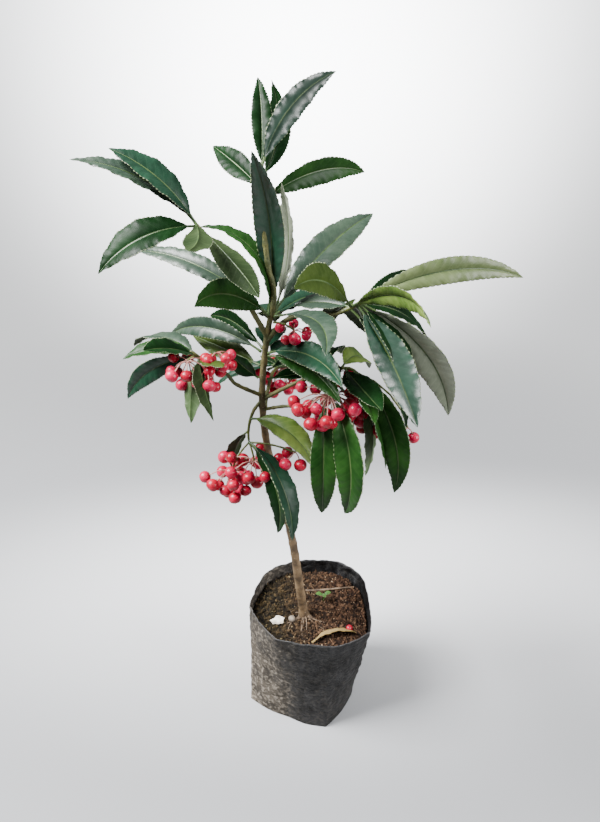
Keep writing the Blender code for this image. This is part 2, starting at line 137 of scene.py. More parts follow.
def blend_of(tree, share, low, high):
    """The output of a node that mixes two colours by a share."""
    made = add(tree, "ShaderNodeMix", {0: share}, data_type="RGBA")
    for index, value in ((6, low), (7, high)):
        colour = value if isinstance(value, bpy.types.NodeSocket) else (*value, 1)
        feed(tree, made.inputs[index], colour)
    return made.outputs[2]


def range_of(tree, value, low, high, new_low=0.0, new_high=1.0):
    """The output of a node that eases a value from one range into another."""
    names = {"Value": value, "From Min": low, "From Max": high, "To Min": new_low, "To Max": new_high}
    return add(tree, "ShaderNodeMapRange", names, interpolation_type="SMOOTHSTEP").outputs[0]


print("helpers for nodes:", ", ".join(maker.__name__ for maker in (add, sum_of, blend_of, range_of)))


# %% [markdown]
# A finish that more than one material shares is built once, as a shader node group. The first is a
# mottle: two sizes of soft noise added together, which breaks up any flat colour as nature does. Like
# every group here it puts out only masks, and each material decides what to do with them.

# %% Mottle group
def shader_group(name, inputs, outputs):
    """An empty group with these inputs and outputs, and the nodes at its two ends."""
    group = bpy.data.node_groups.new(name, "ShaderNodeTree")
    for title, value in inputs.items():
        kind = "NodeSocketVector" if value is None else "NodeSocketFloat"
        socket = group.interface.new_socket(title, in_out="INPUT", socket_type=kind)
        if value is not None:
            socket.default_value = value
    for title in outputs:
        group.interface.new_socket(title, in_out="OUTPUT", socket_type="NodeSocketFloat")
    return group, add(group, "NodeGroupInput").outputs, add(group, "NodeGroupOutput").inputs


mottle, given, wanted = shader_group(
    "mottle", {"Position": None, "Scale": 60.0, "Low": 0.35, "High": 0.65}, ("Mask", "Fine")
)
broad = add(
    mottle, "ShaderNodeTexNoise", {"Vector": given["Position"], "Scale": given["Scale"], "Detail": 4.0}
)
fine_scale = sum_of(mottle, "MULTIPLY", given["Scale"], 7.3)
fine = add(mottle, "ShaderNodeTexNoise", {"Vector": given["Position"], "Scale": fine_scale, "Detail": 3.0})
both = sum_of(mottle, "MULTIPLY_ADD", fine.outputs["Fac"], 0.25, broad.outputs["Fac"])
eased = range_of(mottle, sum_of(mottle, "SUBTRACT", both, 0.125), given["Low"], given["High"])
mottle.links.new(eased, wanted["Mask"])
mottle.links.new(fine.outputs["Fac"], wanted["Fine"])
print("mottle group has", len(mottle.nodes), "nodes")

# %% [markdown]
# The second group draws a leaf's side veins. They leave the midrib at a slant and run to the margin,
# evenly spaced, so they follow the leaf and not the room. Each blade therefore carries a UV map in
# centimetres: along the midrib, and across it. A vein is wherever the slanted distance passes a whole
# number of vein spacings.

# %% Vein group
VEIN_SPACING = 0.55  # cm
VEIN_SLANT = 0.8  # how far a vein climbs along the leaf for each step across it

veins, given, wanted = shader_group(
    "leaf_veins", {"Along": 0.0, "Across": 0.0, "Wander": 0.0}, ("Vein", "Height")
)
slanted = sum_of(
    veins, "SUBTRACT", given["Along"],
    sum_of(veins, "MULTIPLY", sum_of(veins, "ABSOLUTE", given["Across"]), VEIN_SLANT),
)
count = sum_of(veins, "ADD", sum_of(veins, "DIVIDE", slanted, VEIN_SPACING), given["Wander"])
from_middle = sum_of(veins, "ABSOLUTE", sum_of(veins, "SUBTRACT", sum_of(veins, "FRACT", count), 0.5))
line = range_of(veins, from_middle, 0.4, 0.5)
veins.links.new(line, wanted["Vein"])
veins.links.new(sum_of(veins, "MULTIPLY", from_middle, -2.0), wanted["Height"])
print("vein group has", len(veins.nodes), "nodes")

# %% [markdown]
# ## Leaf finishes
#
# Coralberry leaves are thick and glossy, from nearly black green in the middle of the plant to yellow
# green on young shoots, and grey green where dust and wax dull them. One flat green would look like
# plastic. So there are nine greens, dealt out leaf by leaf, each with its own darker and lighter
# shade. The palest, silver, is a painted sheen: a pale grey green that stands in for light glancing
# off a glossy blade, and the underside that goes with it is painted the same way. How glossy a side
# is goes with its green, from the nearly dull deep green to the glazed one, and most undersides are
# duller still.

# %% Leaf materials
VEIN_SHOWS = 0.2  # how far a vein's colour covers the blade's
VEIN_RELIEF, VEIN_RELIEF_SHARE = 0.0003, 0.22
DULLEST, GLOSSIER = 0.05, 1.9  # specular level without any glaze, and how much the glaze adds to it
GLAZE_ROUGHNESS = 0.25


def new_material(name, roughness, settings=None):
    """A material with these settings: itself, its tree, its shader, and the place on it in metres."""
    made = bpy.data.materials.new(name)
    made.use_nodes = True
    shader = made.node_tree.nodes["Principled BSDF"]
    for title, value in {"Roughness": roughness, **(settings or {})}.items():
        shader.inputs[title].default_value = value
    place = add(made.node_tree, "ShaderNodeTexCoord").outputs["Object"]
    return made, made.node_tree, shader, place


def mottle_of(tree, place, scale, low=0.35, high=0.65):
    """The mottle's outputs: a mask that is eased between low and high, and its fine noise."""
    inputs = {"Position": place, "Scale": scale, "Low": low, "High": high}
    return add(tree, "ShaderNodeGroup", inputs, node_tree=mottle).outputs


def bump(tree, shader, height, distance, strength=1.0):
    """Feeds a height in metres into the shader's normal."""
    made = add(tree, "ShaderNodeBump", {"Height": height, "Distance": distance, "Strength": strength})
    tree.links.new(made.outputs["Normal"], shader.inputs["Normal"])


def leaf_material(name, dark, light, vein, roughness, gloss):
    """A green blade from its darker and lighter shade, its veins' colour, its roughness and its glaze."""
    made, tree, shader, place = new_material(name, roughness, {
        "Specular IOR Level": DULLEST + GLOSSIER * gloss,
        "Coat Weight": gloss, "Coat Roughness": GLAZE_ROUGHNESS,
    })
    patch = mottle_of(tree, place, 38.0, 0.3, 0.7)
    blade = parts_of(tree, add(tree, "ShaderNodeUVMap", uv_map="blade").outputs["UV"])
    wander = sum_of(tree, "MULTIPLY", patch["Fine"], 0.25)
    inputs = {"Along": blade["X"], "Across": blade["Y"], "Wander": wander}
    lines = add(tree, "ShaderNodeGroup", inputs, node_tree=veins).outputs
    body = blend_of(tree, patch["Mask"], dark, light)
    share = sum_of(tree, "MULTIPLY", lines["Vein"], VEIN_SHOWS)
    tree.links.new(blend_of(tree, share, body, vein), shader.inputs["Base Color"])
    rough = range_of(tree, patch["Fine"], 0.3, 0.7, roughness - 0.06, roughness + 0.1)
    tree.links.new(rough, shader.inputs["Roughness"])
    bump(tree, shader, lines["Height"], VEIN_RELIEF, VEIN_RELIEF_SHARE)
    return made


print("mottle and veins cover each leaf")

# %% [markdown]
# The greens were matched to the leaves in the photograph. Each row has the darker and the
# lighter shade, the veins' colour, how rough the leaf is and how much it is glazed.

# %% Greens
GREENS = {
    "deep": ((0.0013, 0.0100, 0.0018), (0.0044, 0.0235, 0.0048), (0.010, 0.036, 0.009), 0.42, 0.01),
    "teal": ((0.0030, 0.0215, 0.0095), (0.0100, 0.0450, 0.0220), (0.026, 0.072, 0.036), 0.42, 0.08),
    "green": ((0.0050, 0.0270, 0.0035), (0.0150, 0.0560, 0.0080), (0.035, 0.085, 0.018), 0.42, 0.03),
    "olive": ((0.0180, 0.0370, 0.0040), (0.0400, 0.0660, 0.0100), (0.070, 0.105, 0.024), 0.44, 0.03),
    "fresh": ((0.0420, 0.0880, 0.0110), (0.1250, 0.1850, 0.0380), (0.210, 0.260, 0.080), 0.44, 0.10),
    "pale": ((0.0700, 0.1020, 0.0340), (0.1300, 0.1660, 0.0660), (0.180, 0.220, 0.100), 0.42, 0.12),
    # silver is a painted sheen: a pale grey green that stands in for light glancing off a glossy blade
    "silver": ((0.1500, 0.1750, 0.1200), (0.2400, 0.2650, 0.2000), (0.300, 0.330, 0.250), 0.40, 0.15),
    "slate": ((0.0140, 0.0320, 0.0190), (0.0340, 0.0580, 0.0350), (0.060, 0.090, 0.056), 0.42, 0.14),
    "glazed": ((0.0040, 0.0250, 0.0120), (0.0120, 0.0500, 0.0270), (0.030, 0.078, 0.042), 0.36, 0.32),
}
greens = {name: leaf_material(name + "_leaf", *values) for name, values in GREENS.items()}
pale_under = leaf_material(
    "pale_underside", (0.050, 0.088, 0.032), (0.092, 0.142, 0.060), (0.150, 0.200, 0.100), 0.5, 0.08
)
dusky_under = leaf_material(
    "dusky_underside", (0.014, 0.026, 0.009), (0.030, 0.048, 0.018), (0.060, 0.085, 0.036), 0.6, 0.0
)
# This underside is a painted sheen: a paler green that stands in for light glancing off it.
painted_sheen_under = leaf_material(
    "painted_sheen_underside", (0.045, 0.085, 0.036), (0.105, 0.160, 0.080), (0.200, 0.250, 0.150), 0.4, 0.15
)
# The silver leaves' undersides take that painted sheen.
BELOW = {"fresh": pale_under, "pale": pale_under, "silver": painted_sheen_under}  # all others are dusky below
print("made", len(greens), "greens and three undersides")

# %% [markdown]
# The midrib and the leaf's thin hard margin are paler than the blade. The margin's pale colour is
# partly a painted highlight, for the light that catches the edge. Both could be painted by a
# pattern too, but a colour with a fixed place is safer as its own material on its own faces.

# %% Midrib, margin and stalk materials
def simple_material(name, dark, light, roughness, scale=120.0, height=0.0002):
    """A colour broken up by the mottle, with a fine grain in its relief."""
    made, tree, shader, place = new_material(name, roughness)
    patch = mottle_of(tree, place, scale, 0.3, 0.7)
    tree.links.new(blend_of(tree, patch["Mask"], dark, light), shader.inputs["Base Color"])
    bump(tree, shader, patch["Fine"], height)
    return made


midrib = simple_material("leaf_midrib", (0.024, 0.054, 0.012), (0.060, 0.102, 0.026), 0.45)
# The margin's pale colour is partly the edge's own and partly a painted highlight along it.
margin = simple_material("leaf_margin", (0.130, 0.170, 0.075), (0.280, 0.320, 0.190), 0.45)
gland = simple_material("leaf_gland", (0.010, 0.018, 0.008), (0.022, 0.034, 0.014), 0.5)
shoot = simple_material("green_shoot", (0.040, 0.056, 0.006), (0.105, 0.120, 0.018), 0.5)
fruit_stalk = simple_material("fruit_stalk", (0.300, 0.085, 0.075), (0.520, 0.260, 0.220), 0.45)
print("the stalk's tree has", len(fruit_stalk.node_tree.nodes), "nodes")

# %% [markdown]
# ## The plan of the plant
#
# These are the sizes that the model was grown from, in millimetres and degrees. Heading 0 is to the
# right, heading 90 is away from the camera, and rise 90 is straight up. Each row of a leaf says how
# far along its limb it roots, its heading, its rise at the root and at the tip, how far it sways
# sideways, how it rolls, and its length and width. Each limb has its points, its radius at the foot
# and at the tip, and how far along it the stem of its leaves takes over.

# %% Sizes of the limbs
MM = 0.001
GAP = 0.3
SOIL_TOP = 88

LIMBS = {
    "trunk": (
        ((-5, -5, SOIL_TOP - 2), (-10, -4.5, 130), (-14.5, -4, 168), (-23, -4, 215), (-31, -4, 250),
         (-34, -4, 290), (-30, -4, 332), (-24.5, -3.5, 362), (-28, -2, 381), (-31, 0, 418), (-30, 0, 437)),
        (3.6, 1.2), 330,
    ),
    "left_bough": (
        ((-29.5, -4, 335), (-38.5, -5, 353), (-48, -6, 373), (-57, -8, 390), (-68, -11, 407)), (1.8, 1.2), 75,
    ),
    "right_bough": (
        ((-29.5, -4, 332), (-20, -5, 344), (-8, -6, 350), (13, -12, 353), (37, -19, 368)), (1.8, 1.3), 57,
    ),
    "left_fruit_bough": (
        ((-33, -4, 292), (-50, -12, 305), (-55, -14, 313), (-66, -20, 324), (-75, -25, 334)), (1.4, 0.9), 43,
    ),
    "right_fruit_bough": (
        ((-33, -4, 290), (-18, -9, 301), (-4, -14, 310), (20, -17, 319), (31, -19, 312), (37, -21, 303)),
        (1.4, 0.9), 37,
    ),
    "berry_bough": (
        ((-33, -4, 282), (-20, -9, 287), (-8, -15, 291), (2, -20, 298), (11, -26, 308)), (1.2, 0.8), 46,
    ),
    "lower_bough": (
        ((-34, -4, 289), (-39, -7, 284), (-42, -10, 277), (-43.5, -12, 268), (-43, -14, 262)), (1.2, 0.8), 12,
    ),
    "rear_bough": (
        ((-33, -4, 278), (-31, 12, 288), (-28, 27, 294), (-24, 40, 294)), (1.4, 0.9), 36,
    ),
}
TRUNK_FLARE = 1.45
FLARE_HEIGHT = 14
print("the plant has", len(LIMBS), "limbs")

# %% [markdown]
# Only the leaves that the photograph shows have a row of their own. Each one's green is listed after
# them, so that the rows of sizes stay the model's.

# %% Sizes of the leaves
LEAVES = {
    "top_tuft": (
        (352, 31, 74, 18, -7, -98, 70, 16), (351, 85, 66, 41, 17, 6, 58, 12),
        (346, 53, 40, 50, 63, -29, 70, 15), (342, 125, 22, 14, 2, 43, 56, 15),
        (334, 25, 35, -20, 18, -98, 80, 16),
    ),
    "upper_whorl": (
        (266, 242, 112, 46, 11, 168, 105, 18), (270, 35, 62, 109, 5, 5, 77, 16),
        (268, 36, 47, 4, 19, -19, 108, 24), (266, 217, 47, -5, 43, 78, 78, 18),
        (266, 329, 22, -17, -70, -2, 79, 18), (264, 55, 15, -25, -5, 0, 72, 21),
        (266, 166, 43, -14, -26, 33, 110, 15), (269, 155, 105, -11, 11, 0, 77, 18),
        (264, 65, 0, -10, 0, 5, 60, 19),
    ),
    "middle_whorl": (
        (241, 323, 26, -17, -33, -34, 77, 17), (239, 328, 12, -30, -28, -30, 66, 16),
        (242, 128, 25, -21, -1, 79, 68, 14), (240, 154, 28, -36, -14, 67, 84, 14),
    ),
    "lower_whorl": (
        (228, 2, 30, 4, -8, -3, 44, 17), (230, 138, 4, 1, 2, 42, 67, 16),
        (221, 12, 8, -10, 0, -10, 46, 15), (222, 182, 37, 54, -2, 108, 26, 15),
    ),
    "left_whorl": (
        (84, 187, 64, 19, -18, 21, 61, 22), (82, 181, 54, 2, 3, 27, 76, 15),
        (80, 202, 7, -49, -9, 31, 65, 24), (84, 286, -6, 6, -22, 185, 60, 16),
        (78, 319, -26, -15, -27, -198, 67, 16),
    ),
    "right_whorl": (
        (64, 2, 34, -25, 24, -75, 118, 16), (60, 328, 40, -20, -55, 245, 82, 15),
        (66, 310, -35, -57, -6, -5, 82, 26), (68, 345, -21, -81, 38, -116, 104, 22),
        (66, 42, 14, -11, 12, -44, 74, 14), (62, 233, 50, -1, 16, 67, 81, 20),
        (62, 148, 4, -20, 0, 15, 42, 20),
        (65, 30, -5, -60, 0, -25, 78, 22), (67, 330, -30, -85, 0, -5, 76, 22),
        (61, 327, -33, -84, -5, 5, 86, 21),
    ),
    "left_fruit_spray": (
        (57, 138, 21, -41, 3, -5, 71, 20), (58, 235, 35, 15, 15, 25, 52, 16),
        (57, 178, 26, -29, 7, 10, 48, 17), (58, 172, -11, -60, -31, 96, 73, 14),
        (57, 280, -25, -50, 20, -135, 44, 14), (56, 255, -35, -85, 0, 165, 42, 14),
        (54, 295, 10, 20, 5, 5, 38, 13),
    ),
    "right_fruit_spray": (
        (40, 60, 40, -50, 10, 10, 56, 17), (60, 65, 15, -60, -10, -25, 52, 18),
        (60, 250, 35, 10, -5, -125, 26, 11), (62, 285, 0, 0, 5, 0, 58, 20),
        (62, 290, -5, -15, -10, 25, 56, 18), (70, 315, -23, -104, -3, -64, 90, 19),
        (69, 305, -40, -115, -10, -150, 78, 17), (68, 308, -36, -85, 5, 20, 68, 19),
    ),
    "berry_spray": (
        (50, 267, -35, -120, 5, -5, 90, 17), (53, 296, -15, -126, -12, -55, 95, 21),
    ),
    "lower_spray": (
        (15, 327, 22, -72, 6, -9, 61, 20), (33, 313, -1, -97, -14, 27, 81, 21),
        (33, 314, -18, -114, -7, -81, 76, 16),
    ),
    "rear_spray": (),
}

# The green of each of those leaves, in the same order. A leaf on the far side draws its own.
LEAF_GREENS = {
    "top_tuft": "glazed deep deep deep green",
    "upper_whorl": "glazed silver slate green slate teal slate green deep",
    "middle_whorl": "teal green deep slate",
    "lower_whorl": "deep olive deep deep",
    "left_whorl": "teal slate deep green slate",
    "right_whorl": "pale fresh glazed silver deep olive slate deep deep deep",
    "left_fruit_spray": "slate deep green teal olive fresh olive",
    "right_fruit_spray": "deep fresh green deep green green fresh green",
    "berry_spray": "green green",
    "lower_spray": "fresh teal deep",
    "rear_spray": "",
}
print("the photograph shows", sum(map(len, LEAVES.values())), "leaves")

# %% [markdown]
# The leaves on the far side are only counted here, and a seeded draw places them: how many, how far
# along, between which headings, their rise at the root and at the tip, and their length. Each umbel of
# berries has its place along the limb, heading, rise, fall and length, how many berries it bears, how
# far they reach, their radius and the seed of their draw.

# %% Sizes of the far side's leaves and of the fruit
HIDDEN_LEAVES = {
    "top_tuft": (2, 338, (150, 250), 5, -30, 60),
    "upper_whorl": (2, 264, (85, 110), -5, -40, 72),
    "middle_whorl": (2, 238, (60, 95), 5, -30, 70),
    "lower_whorl": (2, 222, (70, 105), -15, -50, 64),
    "left_whorl": (3, 79, (40, 105), -20, -50, 70),
    "right_whorl": (2, 62, (60, 120), -15, -60, 72),
    "left_fruit_spray": (2, 52, (60, 105), -20, -50, 62),
    "right_fruit_spray": (2, 56, (80, 125), -15, -55, 62),
    "berry_spray": (0, 0, (0, 0), 0, 0, 0),
    "lower_spray": (1, 24, (100, 140), -40, -75, 58),
    "rear_spray": (6, 46, (-5, 185), 0, -50, 64),
}
UMBELS = {
    "upper_whorl": ((262, 337, 14, -38, 15, 4, 10, 3.3, 4),),
    "left_fruit_spray": (
        (58, 215, 10, -35, 7, 6, 15, 3.5, 5), (56, 310, -10, -45, 10, 4, 14, 3.5, 2),
        (50, 320, 55, 30, 14, 3, 9, 3.5, 6),
    ),
    "right_fruit_spray": (
        (71, 333, -50, -86, 26, 9, 17, 3.9, 12), (60, 255, 10, -20, 4, 1, 6, 3.9, 4),
        (70, 345, -15, -75, 52, 2, 8, 3.8, 6),
    ),
    "berry_spray": ((52, 285, 35, -10, 5, 14, 23, 3.9, 20),),
    "lower_spray": (
        (34, 195, -42, -75, 25, 9, 18, 4.1, 7), (34, 300, -40, -75, 13, 6, 16, 4.1, 3),
        (33, 335, 15, -10, 35, 2, 9, 4.0, 3),
    ),
    "rear_spray": ((50, 60, -20, -60, 6, 7, 18, 3.9, 4),),
}
BERRY_VARIES = 0.1
STALK_RADIUS = 0.7
BERRY_STALK_RADIUS = 0.5
SLEEVES = {"upper_whorl": (261.5, 272), "middle_whorl": (231.5, 243.5), "lower_whorl": (219, 231)}
SLEEVE_WALL = 0.9
TIPS = {
    "top_tuft": "trunk",
    "left_whorl": "left_bough",
    "right_whorl": "right_bough",
    "left_fruit_spray": "left_fruit_bough",
    "right_fruit_spray": "right_fruit_bough",
    "berry_spray": "berry_bough",
    "lower_spray": "lower_bough",
    "rear_spray": "rear_bough",
}
LEAF_STALK = 0.09
LEAF_STALK_RADIUS = 0.75
CLEAR_OF_LEAVES = 7
print("and", sum(row[5] for rows in UMBELS.values() for row in rows), "berries")

# %% [markdown]
# The rule that turns those sizes into lines is the model's own. A limb is a smooth curve through its
# points, and a shoot, leaf or stalk is an arc that leaves its root at one rise and bends evenly to
# another. Growing everything from the same rule keeps each leaf where its solid is.

# %% Growth rule
def heading(azimuth, rise):
    """The direction with this heading and rise, in degrees."""
    a, r = math.radians(azimuth), math.radians(rise)
    return Vector((math.cos(r) * math.cos(a), math.cos(r) * math.sin(a), math.sin(r)))


def smooth_line(points, per_span=8):
    """A Catmull-Rom curve through the points."""
    p = [Vector(q) for q in points]
    p = [2 * p[0] - p[1]] + p + [2 * p[-1] - p[-2]]
    line = []
    for a, b, c, d in zip(p, p[1:], p[2:], p[3:]):
        for k in range(per_span):
            t = k / per_span
            line.append(0.5 * (
                2 * b + (c - a) * t + (2 * a - 5 * b + 4 * c - d) * t**2 + (3 * b - a - 3 * c + d) * t**3
            ))
    line.append(p[-2])
    return line


def line_length(line):
    """The sum of the line's steps."""
    return sum((b - a).length for a, b in zip(line, line[1:]))


def point_along(line, distance):
    """The point this far along the line, and the direction of the line there."""
    for a, b in zip(line, line[1:]):
        step = (b - a).length
        if distance <= step:
            return a.lerp(b, max(distance, 0) / step), (b - a).normalized()
        distance -= step
    return line[-1].copy(), (line[-1] - line[-2]).normalized()


def stretch_of(line, start, end, count):
    """Evenly spaced points along part of a line."""
    return [point_along(line, start + (end - start) * i / (count - 1))[0] for i in range(count)]


def arc(root, azimuth, rise, fall, sway, length, steps):
    """Points of an arc that leaves its root at one rise and bends evenly to another."""
    points = [Vector(root)]
    for i in range(steps):
        s = (i + 0.5) / steps
        points.append(points[-1] + heading(azimuth + sway * s, rise + (fall - rise) * s) * (length / steps))
    return points


print("heading 90 runs along", [round(part) for part in heading(90, 0)])

# %% [markdown]
# With those in hand every limb becomes a line. A shoot roots on its limb's line, but those of the three
# whorls root on a thin sleeve round the trunk, as the model's do.

# %% Lines of the limbs
LINES = {name: smooth_line(limb[0]) for name, limb in LIMBS.items()}


def limb_radius(name, distance):
    """How thick a limb is this far along: it tapers evenly, and the trunk flares at its foot."""
    foot, tip = LIMBS[name][1]
    radius = foot + (tip - foot) * distance / line_length(LINES[name])
    if name == "trunk" and distance < FLARE_HEIGHT:
        radius *= 1 + (TRUNK_FLARE - 1) * (1 - distance / FLARE_HEIGHT) ** 2
    return radius


def root_of(mass, along, azimuth, rise):
    """Where a shoot roots: on the trunk's face, or on the middle of the stem past its limb's tip."""
    if mass in SLEEVES:
        point, tangent = point_along(LINES["trunk"], along)
        flat = heading(azimuth, min(rise, 60))
        out = (flat - tangent * flat.dot(tangent)).normalized()
        return point + out * (limb_radius("trunk", along) + GAP + SLEEVE_WALL / 2)
    return point_along(LINES[TIPS[mass]], along)[0]


print("the trunk is", round(line_length(LINES["trunk"])), "mm long")

# %% [markdown]
# The leaves on the far side come from a seeded draw, and one that would crowd another mass is left
# out. The same seed and the same test as the model's give the same leaves.

# %% Which leaves each mass has
def leaf_width(share):
    """Half the blade's width along the leaf, as a share of its widest: wedge foot, drawn-out tip."""
    blade = (share - LEAF_STALK) / (1 - LEAF_STALK)
    return math.sin(math.pi * blade**0.9) ** 0.85 if 0 < blade < 1 else 0


def leaf_frame(azimuth, rise, roll):
    """Directions along the leaf, across it and out of its upper face."""
    along = heading(azimuth, rise)
    across = Vector((math.sin(math.radians(azimuth)), -math.cos(math.radians(azimuth)), 0))
    upward = across.cross(along)
    turn = Matrix.Rotation(math.radians(-roll), 3, along)
    return along, turn @ across, turn @ upward


def leaf_points(root, leaf):
    """The midrib and both edges of a leaf, at nine places along it."""
    azimuth, rise, fall, sway, roll, length, width = leaf
    points = []
    for i, point in enumerate(arc(root, azimuth, rise, fall, sway, length, 8)):
        share = i / 8
        across = leaf_frame(azimuth + sway * share, rise + (fall - rise) * share, roll)[1]
        half = width / 2 * leaf_width(share)
        points += [point, point + across * half, point - across * half]
    return points


def outline_of(mass):
    """Points along the mass's limb and along the leaves that the photograph shows."""
    points = list(LINES[TIPS.get(mass, "trunk")])
    for along, *leaf in LEAVES[mass]:
        points += leaf_points(root_of(mass, along, leaf[0], leaf[1]), leaf)
    return points


def hidden_leaves(mass):
    """Rows like those of LEAVES for the far side, from the mass's own draw."""
    count, along, (start, end), rise, fall, length = HIDDEN_LEAVES[mass]
    draw = random.Random(mass)
    rows = []
    for i in range(count):
        azimuth = start + (end - start) * (i + 0.5) / count + draw.uniform(-8, 8)
        size = length * draw.uniform(0.85, 1.1)
        rows.append((
            along + 2 * (i % 3), azimuth, rise + draw.uniform(-8, 8), fall + draw.uniform(-10, 10),
            draw.uniform(-12, 12), draw.uniform(-15, 15), size, size * 0.3,
        ))
    return rows


def keeps_clear(points, others):
    """Whether the leaf, past its stalk, stays away from all those points."""
    return all((point - other).length > CLEAR_OF_LEAVES for point in points[6:] for other in others)


def leaves_of(mass):
    """(root, leaf, green) for each leaf of the mass."""
    made = []
    for (along, *leaf), green in zip(LEAVES[mass], LEAF_GREENS[mass].split()):
        made.append((root_of(mass, along, leaf[0], leaf[1]), leaf, green))
    shown = [point for other in LEAVES if other != mass for point in outline_of(other)]
    draw = random.Random(mass + "_greens")
    for along, *leaf in hidden_leaves(mass):
        root = root_of(mass, along, leaf[0], leaf[1])
        if keeps_clear(leaf_points(root, leaf)[2:], shown):
            made.append((root, leaf, draw.choice(("deep", "green", "teal", "olive"))))
    return made


plan = {mass: leaves_of(mass) for mass in LEAVES}
print("the whole plant has", sum(map(len, plan.values())), "leaves")

# %% [markdown]
# ## One leaf blade
#
# A real blade is far from flat. It is folded along the midrib like a shallow V, its margin is cut into
# small round teeth with a dark gland between each two, and the midrib lies in a groove above and
# stands out below. A flat card with a picture on it could stand for all that, but its outline would be
# smooth and it would catch the light in one piece. So each blade is a fine grid of points, upper side
# and underside, moved by a few short formulas and closed along the margin.

# %% Blade sizes
TEETH = 30
STEPS_A_TOOTH = 4
STEPS_ALONG = TEETH * STEPS_A_TOOTH
SHARES_ACROSS = np.array([0, 0.045, 0.17, 0.38, 0.62, 0.83, 0.945, 1.0])
COLUMNS = np.concatenate([-SHARES_ACROSS[:0:-1], SHARES_ACROSS])
RIB_COLUMNS = 0.04
MARGIN_COLUMNS = 0.95
BLADE_HALF_THICK = 0.22  # mm, as are the sizes below
TOOTH_DEPTH = 0.42
RUFFLE_SPACING, RUFFLE_HEIGHT = 13.0, 0.38
QUILT_HEIGHT = 0.07
GROOVE_DEPTH, RIB_HEIGHT, RIB_HALF_WIDTH = 0.3, 0.4, 0.5
FOLD, FLATTENING = 0.5, 0.27  # how steeply the halves rise from the midrib, and ease off outwards
TOOTH_SHAPE = (-0.8, 0.1, 0.35, 0.1)  # from one notch to the next


def eased(value, low, high):
    """0 below low, 1 above high, and a smooth step between."""
    t = min(max((value - low) / (high - low), 0), 1)
    return t * t * (3 - 2 * t)


def blade_row(share, leaf, phases, cup):
    """Sideways and upward offsets in mm of one row of a blade: (sideways, upper, lower)."""
    length, width = leaf[5], leaf[6]
    x = share * length
    opened = eased(share, LEAF_STALK * 0.8, LEAF_STALK * 2)
    fade = opened * (1 - eased(share, 0.93, 1))
    stalk = LEAF_STALK_RADIUS * (1.35 - 0.35 * eased(share, 0, 0.05)) * (1 - eased(share, 0.15, 0.4))
    v = np.abs(COLUMNS)
    phase = np.where(COLUMNS < 0, phases[0], phases[1])
    tooth = TOOTH_SHAPE[round(share * STEPS_ALONG) % STEPS_A_TOOTH]
    half = width / 2 * leaf_width(share) + tooth * TOOTH_DEPTH * fade * v**4
    half = np.maximum(half, max(stalk, 0.06))
    away = v * half
    fold = half * (FOLD * v - FLATTENING * v**2) * opened
    bow = cup * half * v**2 * opened
    turn = 2 * math.pi * (x / RUFFLE_SPACING + phase)
    ruffle = RUFFLE_HEIGHT * (np.sin(turn) + 0.5 * np.sin(2.2 * turn)) * v**3 * fade
    swell = 0.5 - 0.5 * np.cos(2 * math.pi * (x - VEIN_SLANT * away) / (VEIN_SPACING * 10))
    quilt = QUILT_HEIGHT * swell * 4 * v * (1 - v) * fade
    near_rib = np.exp(-((away / RIB_HALF_WIDTH) ** 2)) * opened
    thick = (stalk + (BLADE_HALF_THICK - stalk) * opened) if share < 0.4 else BLADE_HALF_THICK
    thick = thick * np.sqrt(1 - v**2) * (1 - 0.6 * eased(share, 0.9, 1))
    middle = fold + bow + ruffle + quilt
    upper = middle + thick - GROOVE_DEPTH * near_rib * fade
    lower = middle - thick - RIB_HEIGHT * near_rib * fade
    upper[[0, -1]] = lower[[0, -1]] = middle[[0, -1]]
    return COLUMNS * half, upper, lower


print("a blade has", STEPS_ALONG + 1, "rows of", len(COLUMNS), "points on its upper side")


# %% [markdown]
# The rows are laid along the leaf's arc, and the grid is sewn up: upper side, underside, and a small
# cap at the foot and the tip. Faces near the middle take the midrib's material, those at the edge the
# margin's, and those beside a notch the gland's.

# %% Blade mesh
def blade_points(root, leaf, draw):
    """The grid's points, and for each its place in centimetres along and across the blade."""
    azimuth, rise, fall, sway, roll, length = leaf[:6]
    phases = (draw.random(), draw.random())
    cup, twist = draw.uniform(-0.1, 0.04), draw.uniform(-7, 7)
    points, places = [], []
    for i, middle in enumerate(arc(root, azimuth, rise, fall, sway, length, STEPS_ALONG)):
        share = i / STEPS_ALONG
        across, upward = leaf_frame(
            azimuth + sway * share, rise + (fall - rise) * share, roll + twist * (share - 0.4)
        )[1:]
        sideways, upper, lower = blade_row(share, leaf, phases, cup)
        middle, across, upward = (np.array(vector) for vector in (middle, across, upward))
        base = middle + sideways[:, None] * across
        above = base + upper[:, None] * upward
        below = base + lower[:, None] * upward
        points.append(np.concatenate([above, below[1:-1]]))
        place = np.stack([np.full(len(COLUMNS), share * length / 10), sideways / 10], axis=1)
        places.append(np.concatenate([place, place[1:-1]]))
    return np.concatenate(points) * MM, np.concatenate(places)


